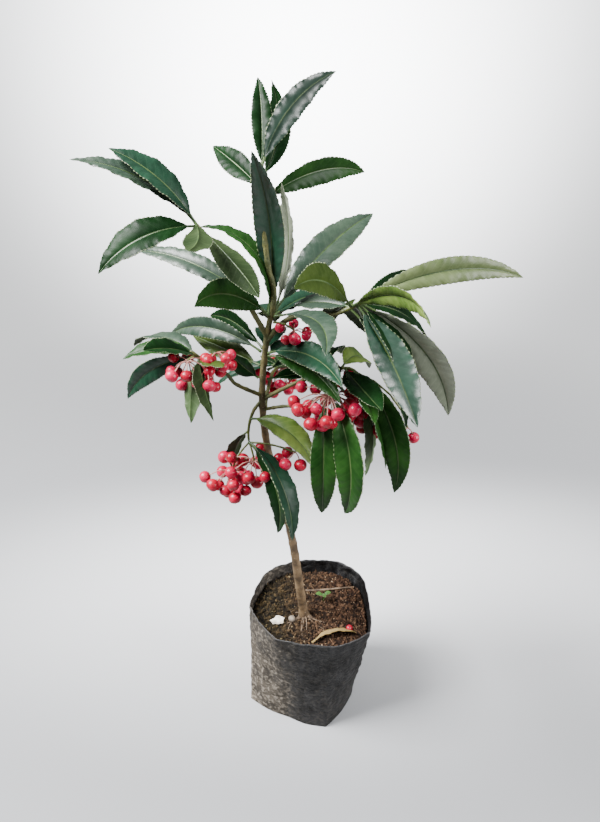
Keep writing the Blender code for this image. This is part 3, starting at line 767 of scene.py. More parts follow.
def blade_faces():
    """The faces of any blade: corners by number, and kind (0 upper, 1 under, 2 rib, 3 margin, 4 gland)."""
    wide = len(COLUMNS)
    row = 2 * wide - 2
    over = list(range(wide))
    under = [0] + list(range(wide, row)) + [wide - 1]
    faces, kinds = [], []
    for i in range(STEPS_ALONG):
        for j in range(wide - 1):
            middle = abs(COLUMNS[j] + COLUMNS[j + 1]) / 2
            stalk = (i + 0.5) / STEPS_ALONG < LEAF_STALK * 1.1
            gland = i % STEPS_A_TOOTH in (0, STEPS_A_TOOTH - 1)
            edge = 2 if middle < RIB_COLUMNS or stalk else 3 + gland if middle > MARGIN_COLUMNS else None
            a, b = i * row, (i + 1) * row
            faces.append((a + over[j], a + over[j + 1], b + over[j + 1], b + over[j]))
            faces.append((a + under[j + 1], a + under[j], b + under[j], b + under[j + 1]))
            kinds += [0 if edge is None else edge, 1 if edge is None else edge]
    ends = over + under[-2:0:-1]
    faces += [tuple(reversed(ends)), tuple(STEPS_ALONG * row + k for k in ends)]
    return faces, kinds + [2, 3]


BLADE_FACES, BLADE_KINDS = blade_faces()
print("a blade has", len(BLADE_FACES), "faces")

# %% [markdown]
# All blades of one mass become one object, because thousands of small objects are slow to handle. It
# stands for that mass of the model, which is then hidden.

# %% Leaves
def leaf_object(name, blades, seed):
    """One mesh from (root, leaf, upper material, lower material) rows."""
    draw = random.Random(seed)
    looks = [midrib, margin, gland]
    points, faces, kinds, places = [], [], [], []
    for root, leaf, *sides in blades:
        looks += [look for look in sides if look not in looks]
        first = sum(map(len, points))
        grid, place = blade_points(root, leaf, draw)
        points.append(grid)
        places.append(place)
        faces += [tuple(first + corner for corner in face) for face in BLADE_FACES]
        upper, lower = (looks.index(look) for look in sides)
        kinds += [(upper, lower, 0, 1, 2)[kind] for kind in BLADE_KINDS]
    mesh = bpy.data.meshes.new(name)
    mesh.from_pydata(np.concatenate(points), [], faces)
    for look in looks:
        mesh.materials.append(look)
    mesh.polygons.foreach_set("material_index", kinds)
    corners = np.empty(len(mesh.loops), np.int32)
    mesh.loops.foreach_get("vertex_index", corners)
    mesh.uv_layers.new(name="blade").data.foreach_set("uv", np.concatenate(places)[corners].ravel())
    mesh.shade_smooth()
    return new_object(name, mesh)


for mass, blades in plan.items():
    rows = [(root, leaf, greens[green], BELOW.get(green, dusky_under)) for root, leaf, green in blades]
    leaves = leaf_object(mass + "_leaves", rows, mass + "_blades")
    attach(leaves, "root")
    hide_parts(mass)
    print(leaves.name, "has", len(rows), "blades and", 2 * len(leaves.data.polygons), "triangles")

# %% [markdown]
# ## Trunk, boughs and stalks
#
# Everything woody here follows a path, which is what Geometry Nodes do well. The tree takes a chain of
# points, each with its own thickness, turns it into a curve, sweeps a circle along it, and then pushes
# the skin in and out: long ridges from a stretched noise, and rings where old leaves have left scars.
# The same tree makes the trunk's bark, a smooth green stalk and a root, with other values.

# %% Helpers for geometry
def geometry_tree(name, inputs):
    """An empty Geometry Nodes tree with named inputs, and the nodes at its two ends."""
    tree = bpy.data.node_groups.new(name, "GeometryNodeTree")
    tree.is_modifier = True
    tree.interface.new_socket("Geometry", in_out="INPUT", socket_type="NodeSocketGeometry")
    for title, (kind, value) in inputs.items():
        socket = tree.interface.new_socket(title, in_out="INPUT", socket_type="NodeSocket" + kind)
        if value is not None:
            socket.default_value = value
    tree.interface.new_socket("Geometry", in_out="OUTPUT", socket_type="NodeSocketGeometry")
    return tree, add(tree, "NodeGroupInput").outputs, add(tree, "NodeGroupOutput").inputs


def attribute(tree, name, kind="FLOAT"):
    """A named attribute of the geometry."""
    return add(tree, "GeometryNodeInputNamedAttribute", {"Name": name}, data_type=kind).outputs["Attribute"]


def real_and_painted(tree, geometry, material):
    """The end of every tree: copies are made real and take their material."""
    real = add(tree, "GeometryNodeRealizeInstances", {"Geometry": geometry}).outputs["Geometry"]
    return add(tree, "GeometryNodeSetMaterial", {"Geometry": real, "Material": material}).outputs["Geometry"]


print("helpers for geometry:", geometry_tree.__name__, attribute.__name__, real_and_painted.__name__)

# %% [markdown]
# In the tree itself, the chain becomes a curve with points at even steps, and each point stores how far
# along it lies. After the sweep, that distance spaces the rings.

# %% Limb tree
limb_tree, given, wanted = geometry_tree("limb_along_a_path", {
    "Sides": ("Int", 12), "Step": ("Float", 0.002),
    "Ridge Depth": ("Float", 0.0), "Ridge Scale": ("Float", 300.0),
    "Ring Height": ("Float", 0.0), "Ring Spacing": ("Float", 0.008), "Material": ("Material", None),
})
path = add(limb_tree, "GeometryNodeMeshToCurve", {"Mesh": given["Geometry"]}).outputs["Curve"]
even = add(limb_tree, "GeometryNodeResampleCurve", {"Curve": path, "Length": given["Step"]}, mode="LENGTH")
distance = add(limb_tree, "GeometryNodeSplineParameter").outputs["Length"]
marked = add(
    limb_tree, "GeometryNodeStoreNamedAttribute",
    {"Geometry": even.outputs["Curve"], "Name": "distance", "Value": distance},
    data_type="FLOAT", domain="POINT",
)
circle = add(limb_tree, "GeometryNodeCurvePrimitiveCircle", {"Resolution": given["Sides"], "Radius": 1.0})
swept = add(limb_tree, "GeometryNodeCurveToMesh", {
    "Curve": marked.outputs["Geometry"], "Profile Curve": circle.outputs["Curve"],
    "Scale": attribute(limb_tree, "thickness"), "Fill Caps": True,
})
position = add(limb_tree, "GeometryNodeInputPosition").outputs["Position"]
stretched = vector_math(limb_tree, "MULTIPLY", position, (1.0, 1.0, 0.22))["Vector"]
grain = add(limb_tree, "ShaderNodeTexNoise", {
    "Vector": stretched, "Scale": given["Ridge Scale"], "Detail": 4.0, "Distortion": 0.4,
}).outputs["Fac"]
ridges = sum_of(limb_tree, "MULTIPLY", sum_of(limb_tree, "SUBTRACT", grain, 0.5), given["Ridge Depth"])
count = sum_of(limb_tree, "DIVIDE", attribute(limb_tree, "distance"), given["Ring Spacing"])
turns = sum_of(limb_tree, "MULTIPLY_ADD", grain, 0.9, count)
wave = sum_of(limb_tree, "ABSOLUTE", sum_of(limb_tree, "SINE", sum_of(limb_tree, "MULTIPLY", turns, math.pi)))
rings = sum_of(limb_tree, "MULTIPLY", sum_of(limb_tree, "POWER", wave, 14.0), given["Ring Height"])
normal = add(limb_tree, "GeometryNodeInputNormal").outputs["Normal"]
height = sum_of(limb_tree, "ADD", ridges, rings)
push = add(limb_tree, "ShaderNodeVectorMath", {0: normal, "Scale": height}, operation="SCALE").outputs[0]
moved = add(limb_tree, "GeometryNodeSetPosition", {"Geometry": swept.outputs["Mesh"], "Offset": push})
smooth = add(limb_tree, "GeometryNodeSetShadeSmooth", {"Geometry": moved.outputs["Geometry"]})
finished = real_and_painted(limb_tree, smooth.outputs["Geometry"], given["Material"])
limb_tree.links.new(finished, wanted["Geometry"])
print("limb tree has", len(limb_tree.nodes), "nodes")

# %% [markdown]
# A tree is used as a modifier. Its inputs are set by the identifier of their sockets, the result is
# copied to a plain mesh, and the modifier goes.

# %% Using a tree
def run_tree(name, mesh, tree, values):
    """A plain mesh object that holds what the tree makes of the mesh."""
    made = new_object(name, mesh)
    modifier = made.modifiers.new(tree.name, "NODES")
    modifier.node_group = tree
    for title, value in values.items():
        modifier[tree.interface.items_tree[title].identifier] = value
    bpy.context.view_layer.update()
    made.data = bpy.data.meshes.new_from_object(made.evaluated_get(bpy.context.evaluated_depsgraph_get()))
    made.modifiers.remove(modifier)
    made.data.name = name
    return made


def chains(name, paths):
    """A mesh of bare chains of points, from (points in mm, radii in mm) rows."""
    points, edges, radii = [], [], []
    for line, widths in paths:
        first = len(points)
        points += [tuple(point * MM) for point in line]
        edges += [(first + i, first + i + 1) for i in range(len(line) - 1)]
        radii += [width * MM for width in widths]
    mesh = bpy.data.meshes.new(name)
    mesh.from_pydata(points, edges, [])
    mesh.attributes.new("thickness", "FLOAT", "POINT").data.foreach_set("value", radii)
    return mesh


print("a tree's inputs are set by identifier, such as", limb_tree.interface.items_tree["Sides"].identifier)


# %% [markdown]
# Bark is grey brown and cracked at the foot, and turns to olive and then green towards the tips, where
# it is young. The height above the ground drives that change, and small pale pores sit on top of it.

# %% Bark material
def bark_material(name, old_height, young_height):
    """Bark that is old below one height and young above another, both in metres."""
    made, tree, shader, place = new_material(name, 0.7)
    patch = mottle_of(tree, place, 140.0)
    wander = sum_of(tree, "MULTIPLY_ADD", patch["Fine"], 0.03, parts_of(tree, place)["Z"])
    young = range_of(tree, wander, old_height, young_height)
    old_bark = blend_of(tree, patch["Mask"], (0.060, 0.036, 0.016), (0.170, 0.110, 0.055))
    young_bark = blend_of(tree, patch["Mask"], (0.036, 0.044, 0.008), (0.095, 0.092, 0.022))
    body = blend_of(tree, young, old_bark, young_bark)
    pores = add(tree, "ShaderNodeTexVoronoi", {"Vector": place, "Scale": 420.0})
    pore = range_of(tree, pores.outputs["Distance"], 0.22, 0.1)
    some = sum_of(tree, "MULTIPLY", pore, range_of(tree, patch["Fine"], 0.5, 0.6))
    tree.links.new(blend_of(tree, some, body, (0.330, 0.270, 0.190)), shader.inputs["Base Color"])
    bump(tree, shader, sum_of(tree, "MULTIPLY_ADD", some, 0.5, patch["Fine"]), 0.0004)
    return made


bark = bark_material("trunk_bark", 0.22, 0.40)
green_bark = bark_material("bough_bark", 0.20, 0.30)
print("bark turns green between 220 and 400 mm")

# %% [markdown]
# Each limb is cut from its curve, up to where the stem of its leaves takes over. The trunk has coarser
# ridges than the boughs, and rings that lie further apart.

# %% Trunk and boughs
LIMB_INPUTS = ("Sides", "Step", "Ridge Depth", "Ridge Scale", "Ring Height", "Ring Spacing")
BARK = {
    "trunk": dict(zip(LIMB_INPUTS, (40, 0.0009, 0.0005, 420.0, 0.0003, 0.011))),
    "bough": dict(zip(LIMB_INPUTS, (20, 0.0009, 0.0004, 600.0, 0.0002, 0.007))),
}


def limb_path(name, start, end, spacing=3):
    """(points, radii) of part of a limb, in mm."""
    count = max(4, round((end - start) / spacing))
    distances = [start + (end - start) * i / (count - 1) for i in range(count)]
    radii = [limb_radius(name, distance) for distance in distances]
    return stretch_of(LINES[name], start, end, count), radii


for name in LIMBS:
    kind = "trunk" if name == "trunk" else "bough"
    start = 2 + GAP if name == "trunk" else 0
    look = bark if name == "trunk" else green_bark
    mesh = chains(name, [limb_path(name, start, LIMBS[name][2] + 1)])
    limb = run_tree(name + "_bark", mesh, limb_tree, {**BARK[kind], "Material": look})
    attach(limb, "root")
    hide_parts(name)
    print(limb.name, "has", len(limb.data.polygons), "faces")

# %% [markdown]
# ## Berries
#
# The fruit hangs in umbels: one stalk ends in a fan of thinner ones, each with a berry that pulls it
# down. They are placed at the model's size. One of the model's own that would touch another is drawn
# again, and the extra ones that fill the gaps may press in a little. Then all of them swell slightly,
# so ripe neighbours press together.

# %% Where the berries hang
FULLER = 1.2  # how many more berries an umbel bears than the model's, as a share of them
RIPER = 1.08  # how much wider a ripe berry is than the model's
GOLDEN_TURN = 137.5  # degrees from each try to the next, which spreads the berries evenly
TRIES = 120  # for each berry of the model's
SLIM_STALK, SLIM_BERRY_STALK = 0.9, 0.75  # how thick the stalks are here, as shares of the model's
CUP_FLARE = [0.42, 0.55, 0.7]  # mm, where a berry's stalk widens into its cup
AIR, PRESSED = 0.3, -0.2  # mm from one of the model's own berries to the next, and from an extra one


def berries_of(umbel_root, azimuth, count, reach, berry, seed):
    """(path of its stalk, radius) for each berry: the model's own first, then those that fill the gaps."""
    draw = random.Random(seed)
    made = []
    for attempt in range(count * TRIES):
        if len(made) == round(count * (1 + FULLER)):
            break
        share = math.sqrt((attempt % count + 0.5) / count)
        turn = azimuth + GOLDEN_TURN * attempt + draw.uniform(-20, 20)
        start = 15 - 95 * (1 - share) + draw.uniform(-12, 12)
        length = reach * draw.uniform(0.8, 1) * (1 - 0.35 * share)
        if len(made) >= count:
            start += draw.uniform(-20, 20)
            length = reach * draw.uniform(0.55, 0.95)
        radius = berry * draw.uniform(1 - BERRY_VARIES, 1 + BERRY_VARIES)
        path = arc(umbel_root, turn, start, max(start - 60, -90), 0, length, 2)
        apart = AIR if len(made) < count else PRESSED
        if all((path[-1] - other[-1]).length > radius + size + apart for other, size in made):
            made.append((path, radius))
    return made


def umbels_of(mass):
    """The main stalks, the berries' own stalks, and (centre, direction, radius) of each berry."""
    stalks, fine_stalks, berries = [], [], []
    for along, azimuth, rise, fall, length, count, reach, berry, seed in UMBELS.get(mass, ()):
        stalk = arc(root_of(mass, along, azimuth, rise), azimuth, rise, fall, 0, length, 4)
        stalks.append((stalk, [STALK_RADIUS * SLIM_STALK] * 5))
        for path, radius in berries_of(stalk[-1], azimuth, count, reach, berry, seed):
            lean = (path[-1] - path[-2]).normalized()
            centre = path[-1] + lean * radius * 0.8
            radius *= RIPER
            line = smooth_line([*path, centre - lean * radius * 0.9], 4)
            slim = [BERRY_STALK_RADIUS * SLIM_BERRY_STALK] * (len(line) - len(CUP_FLARE))
            fine_stalks.append((line, slim + CUP_FLARE))
            berries.append((centre, lean, radius))
    return stalks, fine_stalks, berries


print("the berry spray bears", len(umbels_of("berry_spray")[2]), "berries")

# %% [markdown]
# One berry is modelled once: a ball a little flatter at the top, a small dark dot where the flower's
# style was, and a five-lobed green cup at the stalk. Geometry Nodes set a copy at each place, turned to
# hang along its stalk. The copies are made real at the end, because an export drops instances.

# %% One berry
BERRY_TOP = 0.95  # half a berry's height, as a share of its radius


def dimple(height, middle, depth, spread):
    """How far the skin sinks in at a height: most at the dimple's middle, and nothing far from it."""
    return depth * math.exp(-(((height - middle) / spread) ** 2))


def berry_skin():
    """A ball, a little flattened, that sinks in at the stalk and at the style."""
    bm = bmesh.new()
    bmesh.ops.create_uvsphere(bm, u_segments=24, v_segments=14, radius=1)
    for vert in bm.verts:
        vert.co.z *= BERRY_TOP
        z = vert.co.z
        dent = dimple(z, BERRY_TOP, 0.10, 0.12) + dimple(z, -BERRY_TOP, 0.05, 0.06)
        vert.co.z -= math.copysign(dent, z)
    return bm


def berry_trim():
    """The cup of five pointed lobes at the stalk, and the dot at the far end."""
    bm = bmesh.new()
    rim = []
    for i in range(10):
        turn, reach = math.pi * i / 5, (0.36, 0.17)[i % 2]
        rim.append(bm.verts.new((reach * math.cos(turn), reach * math.sin(turn), (-0.86, -0.93)[i % 2])))
    top = bm.verts.new((0, 0, -0.99))
    below = bm.verts.new((0, 0, -0.84))
    for a, b in zip(rim, rim[1:] + rim[:1]):
        bm.faces.new((b, a, top))
        bm.faces.new((a, b, below))
    bmesh.ops.create_icosphere(bm, subdivisions=1, radius=0.07, matrix=Matrix.Translation((0, 0, 0.86)))
    return bm


def mesh_from(bm, name):
    """A mesh of what was modelled."""
    mesh = bpy.data.meshes.new(name)
    bm.to_mesh(mesh)
    bm.free()
    return mesh


def hidden_object(name, bm):
    """A shape for the trees to copy, which doesn't show itself."""
    bm.normal_update()
    mesh = mesh_from(bm, name)
    mesh.shade_smooth()
    return bpy.data.objects.new(name, mesh)


skin_shape = hidden_object("berry_skin", berry_skin())
trim_shape = hidden_object("berry_trim", berry_trim())
print("a berry's skin has", len(skin_shape.data.polygons), "faces")

# %% [markdown]
# The tree sets two shapes on each point, the skin and its trim, turned along the point's own lean and
# scaled to its own size. Some points are marked for the second shade of red.

# %% Berry tree
berry_tree, given, wanted = geometry_tree("shapes_on_points", {
    "Shape": ("Object", None), "Trim": ("Object", None), "Skin Material": ("Material", None),
    "Second Material": ("Material", None), "Trim Material": ("Material", None),
})
lean = attribute(berry_tree, "lean", "FLOAT_VECTOR")
turned = add(berry_tree, "FunctionNodeAlignRotationToVector", {"Vector": lean}, axis="Z")
points = add(berry_tree, "GeometryNodeMeshToPoints", {"Mesh": given["Geometry"]})
joined = add(berry_tree, "GeometryNodeJoinGeometry")
for shape, look in (("Shape", "Skin Material"), ("Trim", "Trim Material")):
    source = add(berry_tree, "GeometryNodeObjectInfo", {"Object": given[shape]})
    placed = add(berry_tree, "GeometryNodeInstanceOnPoints", {
        "Points": points.outputs["Points"], "Instance": source.outputs["Geometry"],
        "Rotation": turned.outputs["Rotation"], "Scale": attribute(berry_tree, "size"),
    })
    finished = real_and_painted(berry_tree, placed.outputs["Instances"], given[look])
    if shape == "Shape":
        finished = add(berry_tree, "GeometryNodeSetMaterial", {
            "Geometry": finished, "Selection": attribute(berry_tree, "second", "BOOLEAN"),
            "Material": given["Second Material"],
        }).outputs["Geometry"]
    berry_tree.links.new(finished, joined.inputs["Geometry"])
berry_tree.links.new(joined.outputs["Geometry"], wanted["Geometry"])
print("berry tree has", len(berry_tree.nodes), "nodes")

# %% [markdown]
# Ripe coralberries are a bright crimson with a soft shine. Two close reds are dealt out berry by
# berry. A little light passes into the flesh, so a touch of subsurface keeps them from looking painted.

# %% Berry materials
RIPE = {
    "Subsurface Weight": 0.15, "Subsurface Radius": (0.6, 0.1, 0.1), "Subsurface Scale": 0.002,
    "Specular IOR Level": 0.35, "Coat Weight": 0.12, "Coat Roughness": 0.2,
}


def berry_material(name, dark, light):
    """A ripe skin between two close reds, with a soft shine."""
    made, tree, shader, place = new_material(name, 0.3, RIPE)
    patch = mottle_of(tree, place, 180.0, 0.3, 0.7)
    tree.links.new(blend_of(tree, patch["Mask"], dark, light), shader.inputs["Base Color"])
    tree.links.new(range_of(tree, patch["Fine"], 0.3, 0.7, 0.26, 0.4), shader.inputs["Roughness"])
    bump(tree, shader, patch["Fine"], 0.0001)
    return made


crimson = berry_material("crimson_berry", (0.290, 0.001, 0.014), (0.440, 0.003, 0.032))
pinkish = berry_material("pinkish_berry", (0.400, 0.003, 0.034), (0.580, 0.010, 0.068))
cup_brown = simple_material("berry_cup", (0.070, 0.045, 0.020), (0.150, 0.090, 0.045), 0.6)
print("made", crimson.name, "and", pinkish.name)

# %% [markdown]
# Each mass of leaves also has the stem past its limb's tip, the stalks of its umbels and its berries.
# Together with its blades they stand for the whole solid.

# %% Stalks and fruit of each mass
SECOND_SHADE = 0.4  # the share of berries in the second red
TIP_TAPER = 0.6  # how thick a stem's very end is, as a share
SMOOTH_STALK = dict(zip(LIMB_INPUTS, (12, 0.0008, 0.0002, 700.0, 0.00012, 0.006)))
FINE_STALK = {"Sides": 7, "Step": 0.0012}
FRUIT = {
    "Shape": skin_shape, "Trim": trim_shape,
    "Skin Material": crimson, "Second Material": pinkish, "Trim Material": cup_brown,
}


def berry_points(name, berries, seed):
    """A mesh of bare points that carries each berry's direction, size and shade."""
    draw = random.Random(seed)
    mesh = bpy.data.meshes.new(name)
    mesh.from_pydata([tuple(centre * MM) for centre, lean, radius in berries], [], [])
    leans = [value for centre, lean, radius in berries for value in lean]
    mesh.attributes.new("lean", "FLOAT_VECTOR", "POINT").data.foreach_set("vector", leans)
    radii = [radius * MM for centre, lean, radius in berries]
    mesh.attributes.new("size", "FLOAT", "POINT").data.foreach_set("value", radii)
    shades = [draw.random() < SECOND_SHADE for _ in berries]
    mesh.attributes.new("second", "BOOLEAN", "POINT").data.foreach_set("value", shades)
    return mesh


for mass in LEAVES:
    stalks, fine_stalks, berries = umbels_of(mass)
    made = []
    if mass in TIPS:
        limb = TIPS[mass]
        end = line_length(LINES[limb])
        points, radii = limb_path(limb, LIMBS[limb][2] - 1, end)
        radii[-1] *= TIP_TAPER
        stalks = [(points, radii), *stalks]
    if stalks:
        values = {**SMOOTH_STALK, "Material": shoot}
        made.append((run_tree(mass + "_stalks", chains(mass, stalks), limb_tree, values), "bough"))
    if berries:
        values = {**FINE_STALK, "Material": fruit_stalk}
        made.append((run_tree(mass + "_berry_stalks", chains(mass, fine_stalks), limb_tree, values), None))
        mesh = berry_points(mass, berries, mass + "_berries")
        made.append((run_tree(mass + "_berries", mesh, berry_tree, FRUIT), None))
    for piece, slot in made:
        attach(piece, "root")
        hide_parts(mass)
    print(mass, "has", len(stalks), "stalks and", len(berries), "berries")

# %% [markdown]
# ## Nursery bag
#
# The bag is thin black polythene, folded flat when it is sold, so eight creases run from foot to rim.
# It could be a plain cylinder with a bump, but its outline in the photograph is that of slack film:
# straight between the creases, buckled near them, and uneven along the rim. So it is lofted from the
# foot's outline to the rim's, and the film is crumpled by noise that fades out at the foot, where the
# weight of the compost presses it flat.

# %% Bag sizes and outline
BAG_HEIGHT = 100
BAG_FOOT = ((33, 18), (16, 38), (-18, 38), (-42, 22), (-51, -17), (-18, -35), (13, -44), (36, -14))
BAG_RIM = ((47, 23), (26, 48), (-16, 47), (-39, 32), (-50, -5), (-28, -39), (18, -46), (47, -32))
BAG_BOW = 2
BAG_WALL = 1.0
BAG_STEPS = 36
BAG_LEVELS = 84
FILM = 0.45
WIDE_FACETS, FINE_FACETS = 16, 6  # mm across
RIM_DROP, RIM_WAVE = 0.5, 0.7  # mm that the rim lies lower, and how uneven it is
SLACK, DEEPEST = 1.3, 1.8  # mm that the film hangs in along its folds, and at most


def bag_ring(share, inset, height, steps):
    """One level of the bag's outline: share 0 is the foot and 1 the rim."""
    pairs = zip(BAG_FOOT, BAG_RIM)
    creases = [Vector((*foot, height)).lerp(Vector((*rim, height)), share) for foot, rim in pairs]
    middle = sum(creases, Vector()) / len(creases)
    ring = []
    for a, b in zip(creases, creases[1:] + creases[:1]):
        outward = Vector((b.y - a.y, a.x - b.x, 0)).normalized()
        for i in range(steps):
            point = a.lerp(b, i / steps) + outward * BAG_BOW * math.sin(math.pi * i / steps)
            ring.append(point - (point - middle).normalized() * inset)
    return ring


def folds(point, size):
    """0 along the folds and 1 on the flat facets between them, which are about this many mm wide."""
    nearest, second = noise.voronoi(point / size)[0][:2]
    return min(1, 2.4 * (second - nearest))


def crumple(point, share):
    """How far the film buckles at a point, in mm: facets between sharp folds, on slow large waves."""
    slow = noise.noise(point * 0.03) + 0.5 * noise.noise(point * 0.07)
    wide = folds(point, WIDE_FACETS)
    fine = folds(point + Vector((40, 0, 0)), FINE_FACETS)
    return max(-DEEPEST, slow + 0.8 * wide + 0.35 * fine - SLACK) * min(1, 0.15 + share * 4)


print("the bag's outline has", len(bag_ring(1, 0, BAG_HEIGHT, BAG_STEPS)), "points on each level")


# %% [markdown]
# The levels are sewn into one sheet with a slightly dished foot. The sheet then gets its thickness, and
# only its sharper folds stay as hard edges.

# %% Bag mesh
def skin(bm, rings):
    """Faces from ring to ring, and the verts of the first and last ring."""
    loops = [[bm.verts.new(point * MM) for point in ring] for ring in rings]
    for low, high in zip(loops, loops[1:]):
        for i in range(len(low)):
            j = (i + 1) % len(low)
            bm.faces.new((low[i], low[j], high[j], high[i]))
    return loops[0], loops[-1]


def bag_levels():
    """The film's outline level by level: the foot, and then the crumpled side up to the rim."""
    rings = []
    for shrink in (0.1, 0.55, 0.9):
        lift = 0.3 * (1 - shrink)
        rings.append([Vector((p.x * shrink, p.y * shrink, lift)) for p in bag_ring(0, 0, 0, BAG_STEPS)])
    for level in range(BAG_LEVELS + 1):
        share = level / BAG_LEVELS
        ring = bag_ring(share, 0, share * BAG_HEIGHT, BAG_STEPS)
        middle = sum(ring, Vector()) / len(ring)
        for point in ring:
            point += (point - middle).normalized() * crumple(point, share)
            if level == BAG_LEVELS:
                point.z -= RIM_DROP + RIM_WAVE * noise.noise(point * 0.08)
        rings.append(ring)
    return rings


bm = bmesh.new()
foot, rim = skin(bm, bag_levels())
bm.faces.new(list(reversed(foot)))
bmesh.ops.recalc_face_normals(bm, faces=bm.faces)
bag = new_object("bag_film", mesh_from(bm, "bag_film"))
wall = bag.modifiers.new("film", "SOLIDIFY")
wall.thickness = FILM * MM
wall.offset = -1
bpy.context.view_layer.update()
bag.data = bpy.data.meshes.new_from_object(bag.evaluated_get(bpy.context.evaluated_depsgraph_get()))
bag.modifiers.clear()
bag.data.shade_smooth()
bag.data.set_sharp_from_angle(angle=math.radians(35))
print("the bag has", len(bag.data.polygons), "faces")

# %% [markdown]
# Black polythene on a nursery bench never stays black. Dried compost water leaves a brown film of
# dust, thickest low down and on the left, and handling rubs it into streaks. The lighter left is
# partly painted light as well, for the side that the lamp lights. The dust is dull where the bare
# film shines, so the same mask drives colour and roughness. Flecks lie in the dust, long scratches
# run up and down the film, and a thin pale line along the rim is a painted highlight.

# %% Bag material
film, tree, shader, place = new_material("dusty_film", 0.5, {"Specular IOR Level": 0.2})
patch = mottle_of(tree, place, 45.0, 0.42, 0.6)
specks = mottle_of(tree, place, 330.0, 0.5, 0.6)
drawn = vector_math(tree, "MULTIPLY", place, (1.0, 1.0, 0.16))["Vector"]
streaks = mottle_of(tree, drawn, 240.0, 0.46, 0.62)
parts = parts_of(tree, place)
# Dust and painted light: the film turns lighter brown towards its left, partly for dust and partly for the
# lamp's light on that side.
left = range_of(tree, parts["X"], 0.0, -0.045, 0.06, 1.0)
low = range_of(tree, parts["Z"], 0.09, 0.0, 0.5, 1.0)
uneven = sum_of(tree, "MULTIPLY_ADD", patch["Mask"], 0.55, 0.45)
haze = sum_of(tree, "MULTIPLY", sum_of(tree, "MULTIPLY", left, low), uneven)
black = blend_of(tree, patch["Mask"], (0.0012, 0.0014, 0.0020), (0.0050, 0.0057, 0.0074))
dust_and_lit_side = blend_of(tree, haze, black, (0.115, 0.096, 0.074))
flecks = sum_of(tree, "MULTIPLY", specks["Mask"], sum_of(tree, "MULTIPLY_ADD", haze, 0.9, 0.02))
flecked = blend_of(tree, flecks, dust_and_lit_side, (0.270, 0.235, 0.190))
scratched = blend_of(tree, sum_of(tree, "MULTIPLY", streaks["Mask"], 0.10), flecked, (0.080, 0.080, 0.085))
# A painted highlight: a thin pale band along the rim, where light catches the lip.
painted_rim_highlight = range_of(tree, parts["Z"], 0.0975, 0.0992, 0.0, 0.5)
tree.links.new(blend_of(tree, painted_rim_highlight, scratched, (0.080, 0.080, 0.082)), shader.inputs["Base Color"])
tree.links.new(range_of(tree, haze, 0.0, 0.5, 0.36, 0.85), shader.inputs["Roughness"])
pulled = vector_math(tree, "MULTIPLY", place, (0.55, 0.55, 1.5))["Vector"]
cells = add(tree, "ShaderNodeTexVoronoi", {"Vector": pulled, "Scale": 70.0}, feature="DISTANCE_TO_EDGE")
wrinkles = mottle_of(tree, pulled, 110.0, 0.4, 0.6)
creases = range_of(tree, cells.outputs["Distance"], 0.0, 0.2)
pleats = sum_of(tree, "MULTIPLY_ADD", creases, 0.35, wrinkles["Fine"])
bump(tree, shader, sum_of(tree, "MULTIPLY_ADD", specks["Fine"], 0.12, pleats), 0.0012)
bag.data.materials.clear()
bag.data.materials.append(film)
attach(bag, "root")
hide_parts("grow_bag")
print("the film's tree has", len(tree.nodes), "nodes")

# %% [markdown]
# ## Compost
#
# The compost is coarse bark: a lumpy brown surface under thousands of loose crumbs. The surface is
# lofted inside the bag and its top is raised by noise. Crumbs and chips are scattered over it by
# Geometry Nodes, which is far quicker than placing them, and a fixed seed keeps them where they are.

# %% Compost body
SOIL_INSET = BAG_WALL + 6 * GAP
SOIL_LOW = BAG_WALL + GAP
SOIL_RINGS = 40


def soil_height(x, y):
    """Height of the compost's top in mm: heaped a little round the trunk, lumpy all over."""
    point = Vector((x, y, 0))
    heap = 1.6 * math.exp(-((x + 5) ** 2 + (y + 5) ** 2) / 260)
    lumps = 1.8 * noise.noise(point * 0.07) + 1.6 * noise.noise(point * 0.2) + 0.8 * noise.noise(point * 0.45)
    return SOIL_TOP - 0.6 + heap + lumps


rings = [bag_ring(level / BAG_HEIGHT, SOIL_INSET, level, 16) for level in (SOIL_LOW, 30, 60, SOIL_TOP - 6)]
rim_ring = bag_ring(SOIL_TOP / BAG_HEIGHT, SOIL_INSET, SOIL_TOP, 16)
for i in range(SOIL_RINGS):
    shrink = 1 - i / SOIL_RINGS
    places = [(p.x * shrink, p.y * shrink) for p in rim_ring]
    rings.append([Vector((x, y, soil_height(x, y))) for x, y in places])
bm = bmesh.new()
foot, top = skin(bm, rings)
bm.faces.new(list(reversed(foot)))
bm.faces.new(top)
bmesh.ops.recalc_face_normals(bm, faces=bm.faces)
soil_mesh = bpy.data.meshes.new("compost")
bm.to_mesh(soil_mesh)
low_faces = [face for face in bm.faces if face.calc_center_median().z < (SOIL_TOP - 4) * MM]
bmesh.ops.delete(bm, geom=low_faces, context="FACES")
ground = mesh_from(bm, "compost_top")
soil = new_object("compost", soil_mesh)
soil_mesh.shade_smooth()
print("the compost has", len(soil_mesh.polygons), "faces")

# %% [markdown]
# Bark compost holds nearly black crumbs, brown and rusty chips and pale flecks of straw. All of them
# are darker and more olive at the left of the pot and brighter and redder at the right, so each kind
# has two pairs of shades. The darker left is partly painted shade, as if the bag's rim kept the
# light from the left off that side of the compost.

